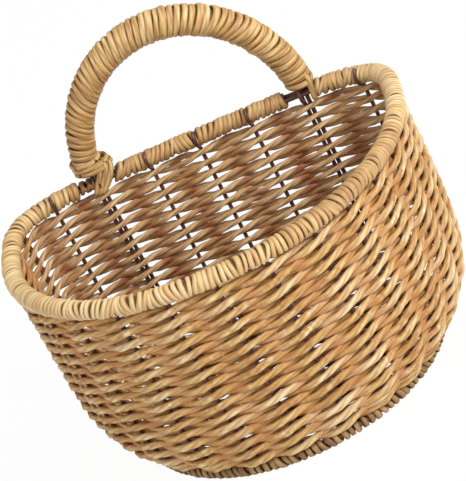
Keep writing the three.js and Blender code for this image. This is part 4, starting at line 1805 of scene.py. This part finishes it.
@dataclass
class WovenFloor:
    """The floor: one strand woven to and fro over and under the floor wires."""

    bench: Bench
    passes: int = 33
    edge_margin: float = 9.0
    lift: float = 3.2
    # The strand takes a wire only where both the wire's end and the pass's end are so far away.
    turn: float = 4.4
    edge_clearance: float = 8.0
    strand: Strand = Strand(
        half_width=2.3, half_depth=1.6, step=3.0, sides=10, plies=3, ply_depth=0.15, knobbly=0.2
    )

    def wires(self) -> list[tuple[Vector, Vector]]:
        """Finds the floor wires.

        Returns:
            Each wire as its back end and its front end, from left to right.
        """
        form = self.bench.form
        reach, half = (HOOPS - 1) // 2, UPRIGHTS // 2
        pairs = [(upright_at(k), upright_at(half - k)) for k in range(-reach, reach + 1)]
        return [tuple(form.point(u, form.floor_wire_height) for u in pair) for pair in pairs]

    def row(self, number: int, y: float) -> list[Vector]:
        """Returns the points of one pass across the floor.

        Args:
            number: The pass's number.
            y: Its place from the front to the back.

        Returns:
            The points from left to right: an end, each wire that is passed over or under, an end.
        """
        form = self.bench.form
        height = form.floor_wire_height
        edge = form.foot.half_width_at(y - form.shift.y) - self.edge_clearance
        row = []
        for k, (back, front) in enumerate(self.wires()):
            x = back.x + (front.x - back.x) * (y - back.y) / (front.y - back.y)
            if y > front.y + self.turn and abs(x) + self.turn < edge:
                side = 1 if (k + number) % 2 == 0 else -1
                row.append(Vector((x, y, height + side * self.lift)))
        left, right = (Vector((sign * max(edge, abs(row[0].x)), y, height)) for sign in (-1, 1))
        return [left, *row, right]

    def build(self) -> None:
        """Makes the floor's strand."""
        back, front = self.wires()[HOOPS // 2]
        first, last = back.y - self.edge_margin, front.y + self.edge_margin
        course = Course()
        for number in range(self.passes):
            row = self.row(number, first + (last - first) * number / (self.passes - 1))
            for point in row if number % 2 == 0 else reversed(row):
                course.add(point, UP, inner=1.0)
        self.bench.make("floor_strand", [course], self.strand, Finish.FLOOR, "floor_weaver")


@dataclass(frozen=True)
class Lamp:
    """A square soft lamp: its place and size in metres, and its power in watts."""

    name: str
    place: Spot
    size: float
    power: float

    def hang(self) -> None:
        """Hangs the lamp so that it points at the basket."""
        data = bpy.data.lights.new(self.name, "AREA")
        data.size = self.size
        data.energy = self.power
        lamp = bpy.data.objects.new(self.name, data)
        lamp.location = self.place
        aim = Vector((0.0, 0.0, 0.1)) - Vector(self.place)
        lamp.rotation_mode = "QUATERNION"
        lamp.rotation_quaternion = aim.to_track_quat("-Z", "Y")
        bpy.context.scene.collection.objects.link(lamp)


@dataclass
class Studio:
    """The camera at the photograph's place, soft lamps and a plain pale floor.

    The camera's angles are in degrees, and its distance and target in mm.
    """

    form: WallForm
    azimuth: float = 9.95
    elevation: float = 27.64
    roll: float = -27.76
    distance: float = 1619.76
    focal_pixels: float = 2375.19
    target: Spot = (0.0, -80.0, 120.0)
    picture_height: float = 481.0
    offset_pixels: tuple[float, float] = (-8.63, -5.2)
    sensor: float = 36.0
    far: float = 20.0
    lamps: tuple[Lamp, ...] = (
        Lamp("key", (1.25, -0.7, 1.45), 0.7, 35.0),
        Lamp("fill", (-1.1, -1.4, 1.0), 1.4, 8.0),
    )
    white: str = "#ffffff"
    light_all_round: float = 0.57
    floor_size: float = 6.0
    floor_colour: str = "#f4f4f4"
    floor_roughness: float = 0.9
    # How much of the floor is plain white to the camera; the rest keeps a faint shadow.
    floor_glow: float = 0.96

    def camera(self) -> None:
        """Sets the camera up at the photograph's place, turned as the photograph is."""
        azimuth, elevation = math.radians(self.azimuth), math.radians(self.elevation)
        level = math.cos(elevation)
        back = Vector((math.sin(azimuth) * level, -math.cos(azimuth) * level, math.sin(elevation)))
        right = (-back).cross(UP).normalized()
        turned = Matrix((right, right.cross(-back), back)).transposed().to_4x4()
        place = (Vector(self.target) + self.form.shift + back * self.distance) * MM
        data = bpy.data.cameras.new("camera")
        data.lens = self.focal_pixels * self.sensor / self.picture_height
        data.sensor_width = self.sensor
        data.shift_x = -self.offset_pixels[0] / self.picture_height
        data.shift_y = self.offset_pixels[1] / self.picture_height
        data.clip_end = self.far
        camera = bpy.data.objects.new("camera", data)
        bpy.context.scene.collection.objects.link(camera)
        roll = Matrix.Rotation(math.radians(self.roll), 4, "Z")
        camera.matrix_world = Matrix.Translation(place) @ turned @ roll
        bpy.context.scene.camera = camera

    def world(self) -> None:
        """Lights all round softly, and shows as white to the camera."""
        world = bpy.data.worlds.new("studio")
        bpy.context.scene.world = world
        world.use_nodes = True
        tree, white = world.node_tree, linear(self.white)
        lit = tree.nodes["Background"]
        feed(tree, lit, {"Color": white, "Strength": self.light_all_round})
        shown = add_node(tree, "ShaderNodeBackground", {"Color": white, "Strength": 1.0})
        seen = add_node(tree, "ShaderNodeLightPath").outputs["Is Camera Ray"]
        mixed = add_node(tree, "ShaderNodeMixShader", [seen, lit, shown])
        feed(tree, tree.nodes["World Output"], {"Surface": mixed})

    def floor(self) -> None:
        """Lays a plain white floor that keeps a faint shadow."""
        mesh = bpy.data.meshes.new("studio_floor")
        half = self.floor_size / 2
        corners = [(-half, -half, 0.0), (half, -half, 0.0), (half, half, 0.0), (-half, half, 0.0)]
        mesh.from_pydata(corners, [], [(0, 1, 2, 3)])
        floor = bpy.data.objects.new("studio_floor", mesh)
        bpy.context.scene.collection.objects.link(floor)
        material, add = start_material("pale_floor")
        tree = material.node_tree
        shader = tree.nodes["Principled BSDF"]
        sockets = {"Base Color": linear(self.floor_colour), "Roughness": self.floor_roughness}
        feed(tree, shader, {**sockets, "Specular IOR Level": 0.0})
        glow = add("ShaderNodeEmission", {"Color": linear(self.white), "Strength": 1.0})
        seen = add("ShaderNodeLightPath").outputs["Is Camera Ray"]
        share = add(MATH, [seen, self.floor_glow], operation="MULTIPLY")
        mixed = add("ShaderNodeMixShader", [share, shader, glow])
        feed(tree, tree.nodes["Material Output"], {"Surface": mixed})
        mesh.materials.append(material)
        floor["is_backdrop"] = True

    def build(self) -> None:
        """Sets up the camera, the world, the floor and the lamps."""
        bpy.context.scene.view_settings.view_transform = "Standard"
        self.camera()
        self.world()
        self.floor()
        for lamp in self.lamps:
            lamp.hang()


def wall_form() -> WallForm:
    """Works out the wall's form, set in the frame by the place of the foot's lashing.

    Returns:
        The form.
    """
    lashing_half_depth, foot_setback = 5.2, 2.0
    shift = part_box("foot_lashing")[1].y / MM + foot_setback - lashing_half_depth
    rim = HalfRoundPlan(
        half_width=143.5, depth=197.0, back=0.0, corner_depth=61.0, back_power=4.2, front_power=2.1
    )
    foot = HalfRoundPlan(
        half_width=110.0, depth=188.0, back=-foot_setback, corner_depth=86.0, back_power=3.4, front_power=2.0
    )
    return WallForm(rim, foot, Vector((0.0, shift, 0.0)))


def corners(box: tuple[Vector, Vector]) -> list[list[float]]:
    """Returns a box's two corners as plain lists."""
    return [list(corner) for corner in box]


def main() -> None:
    """Builds the basket and its studio in order, and notes the sizes."""
    logging.basicConfig(level=logging.INFO, format="%(name)s %(message)s")
    sizes = {"cad": corners(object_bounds())}
    form = wall_form()
    Studio(form).build()
    bench = Bench.set_up(form)
    WireFrame(bench).build()
    TwinedWall(bench).build()
    handle = Handle(bench)
    handle.build()
    legs = {sign: handle.leg_place(sign) for sign in (-1, 1)}
    FootTies(bench, legs).build()
    RimLashing(bench, legs).build()
    FootBorder(bench).build()
    WovenFloor(bench).build()
    sizes["visual"] = corners(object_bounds())


if __name__ == "__main__":
    main()
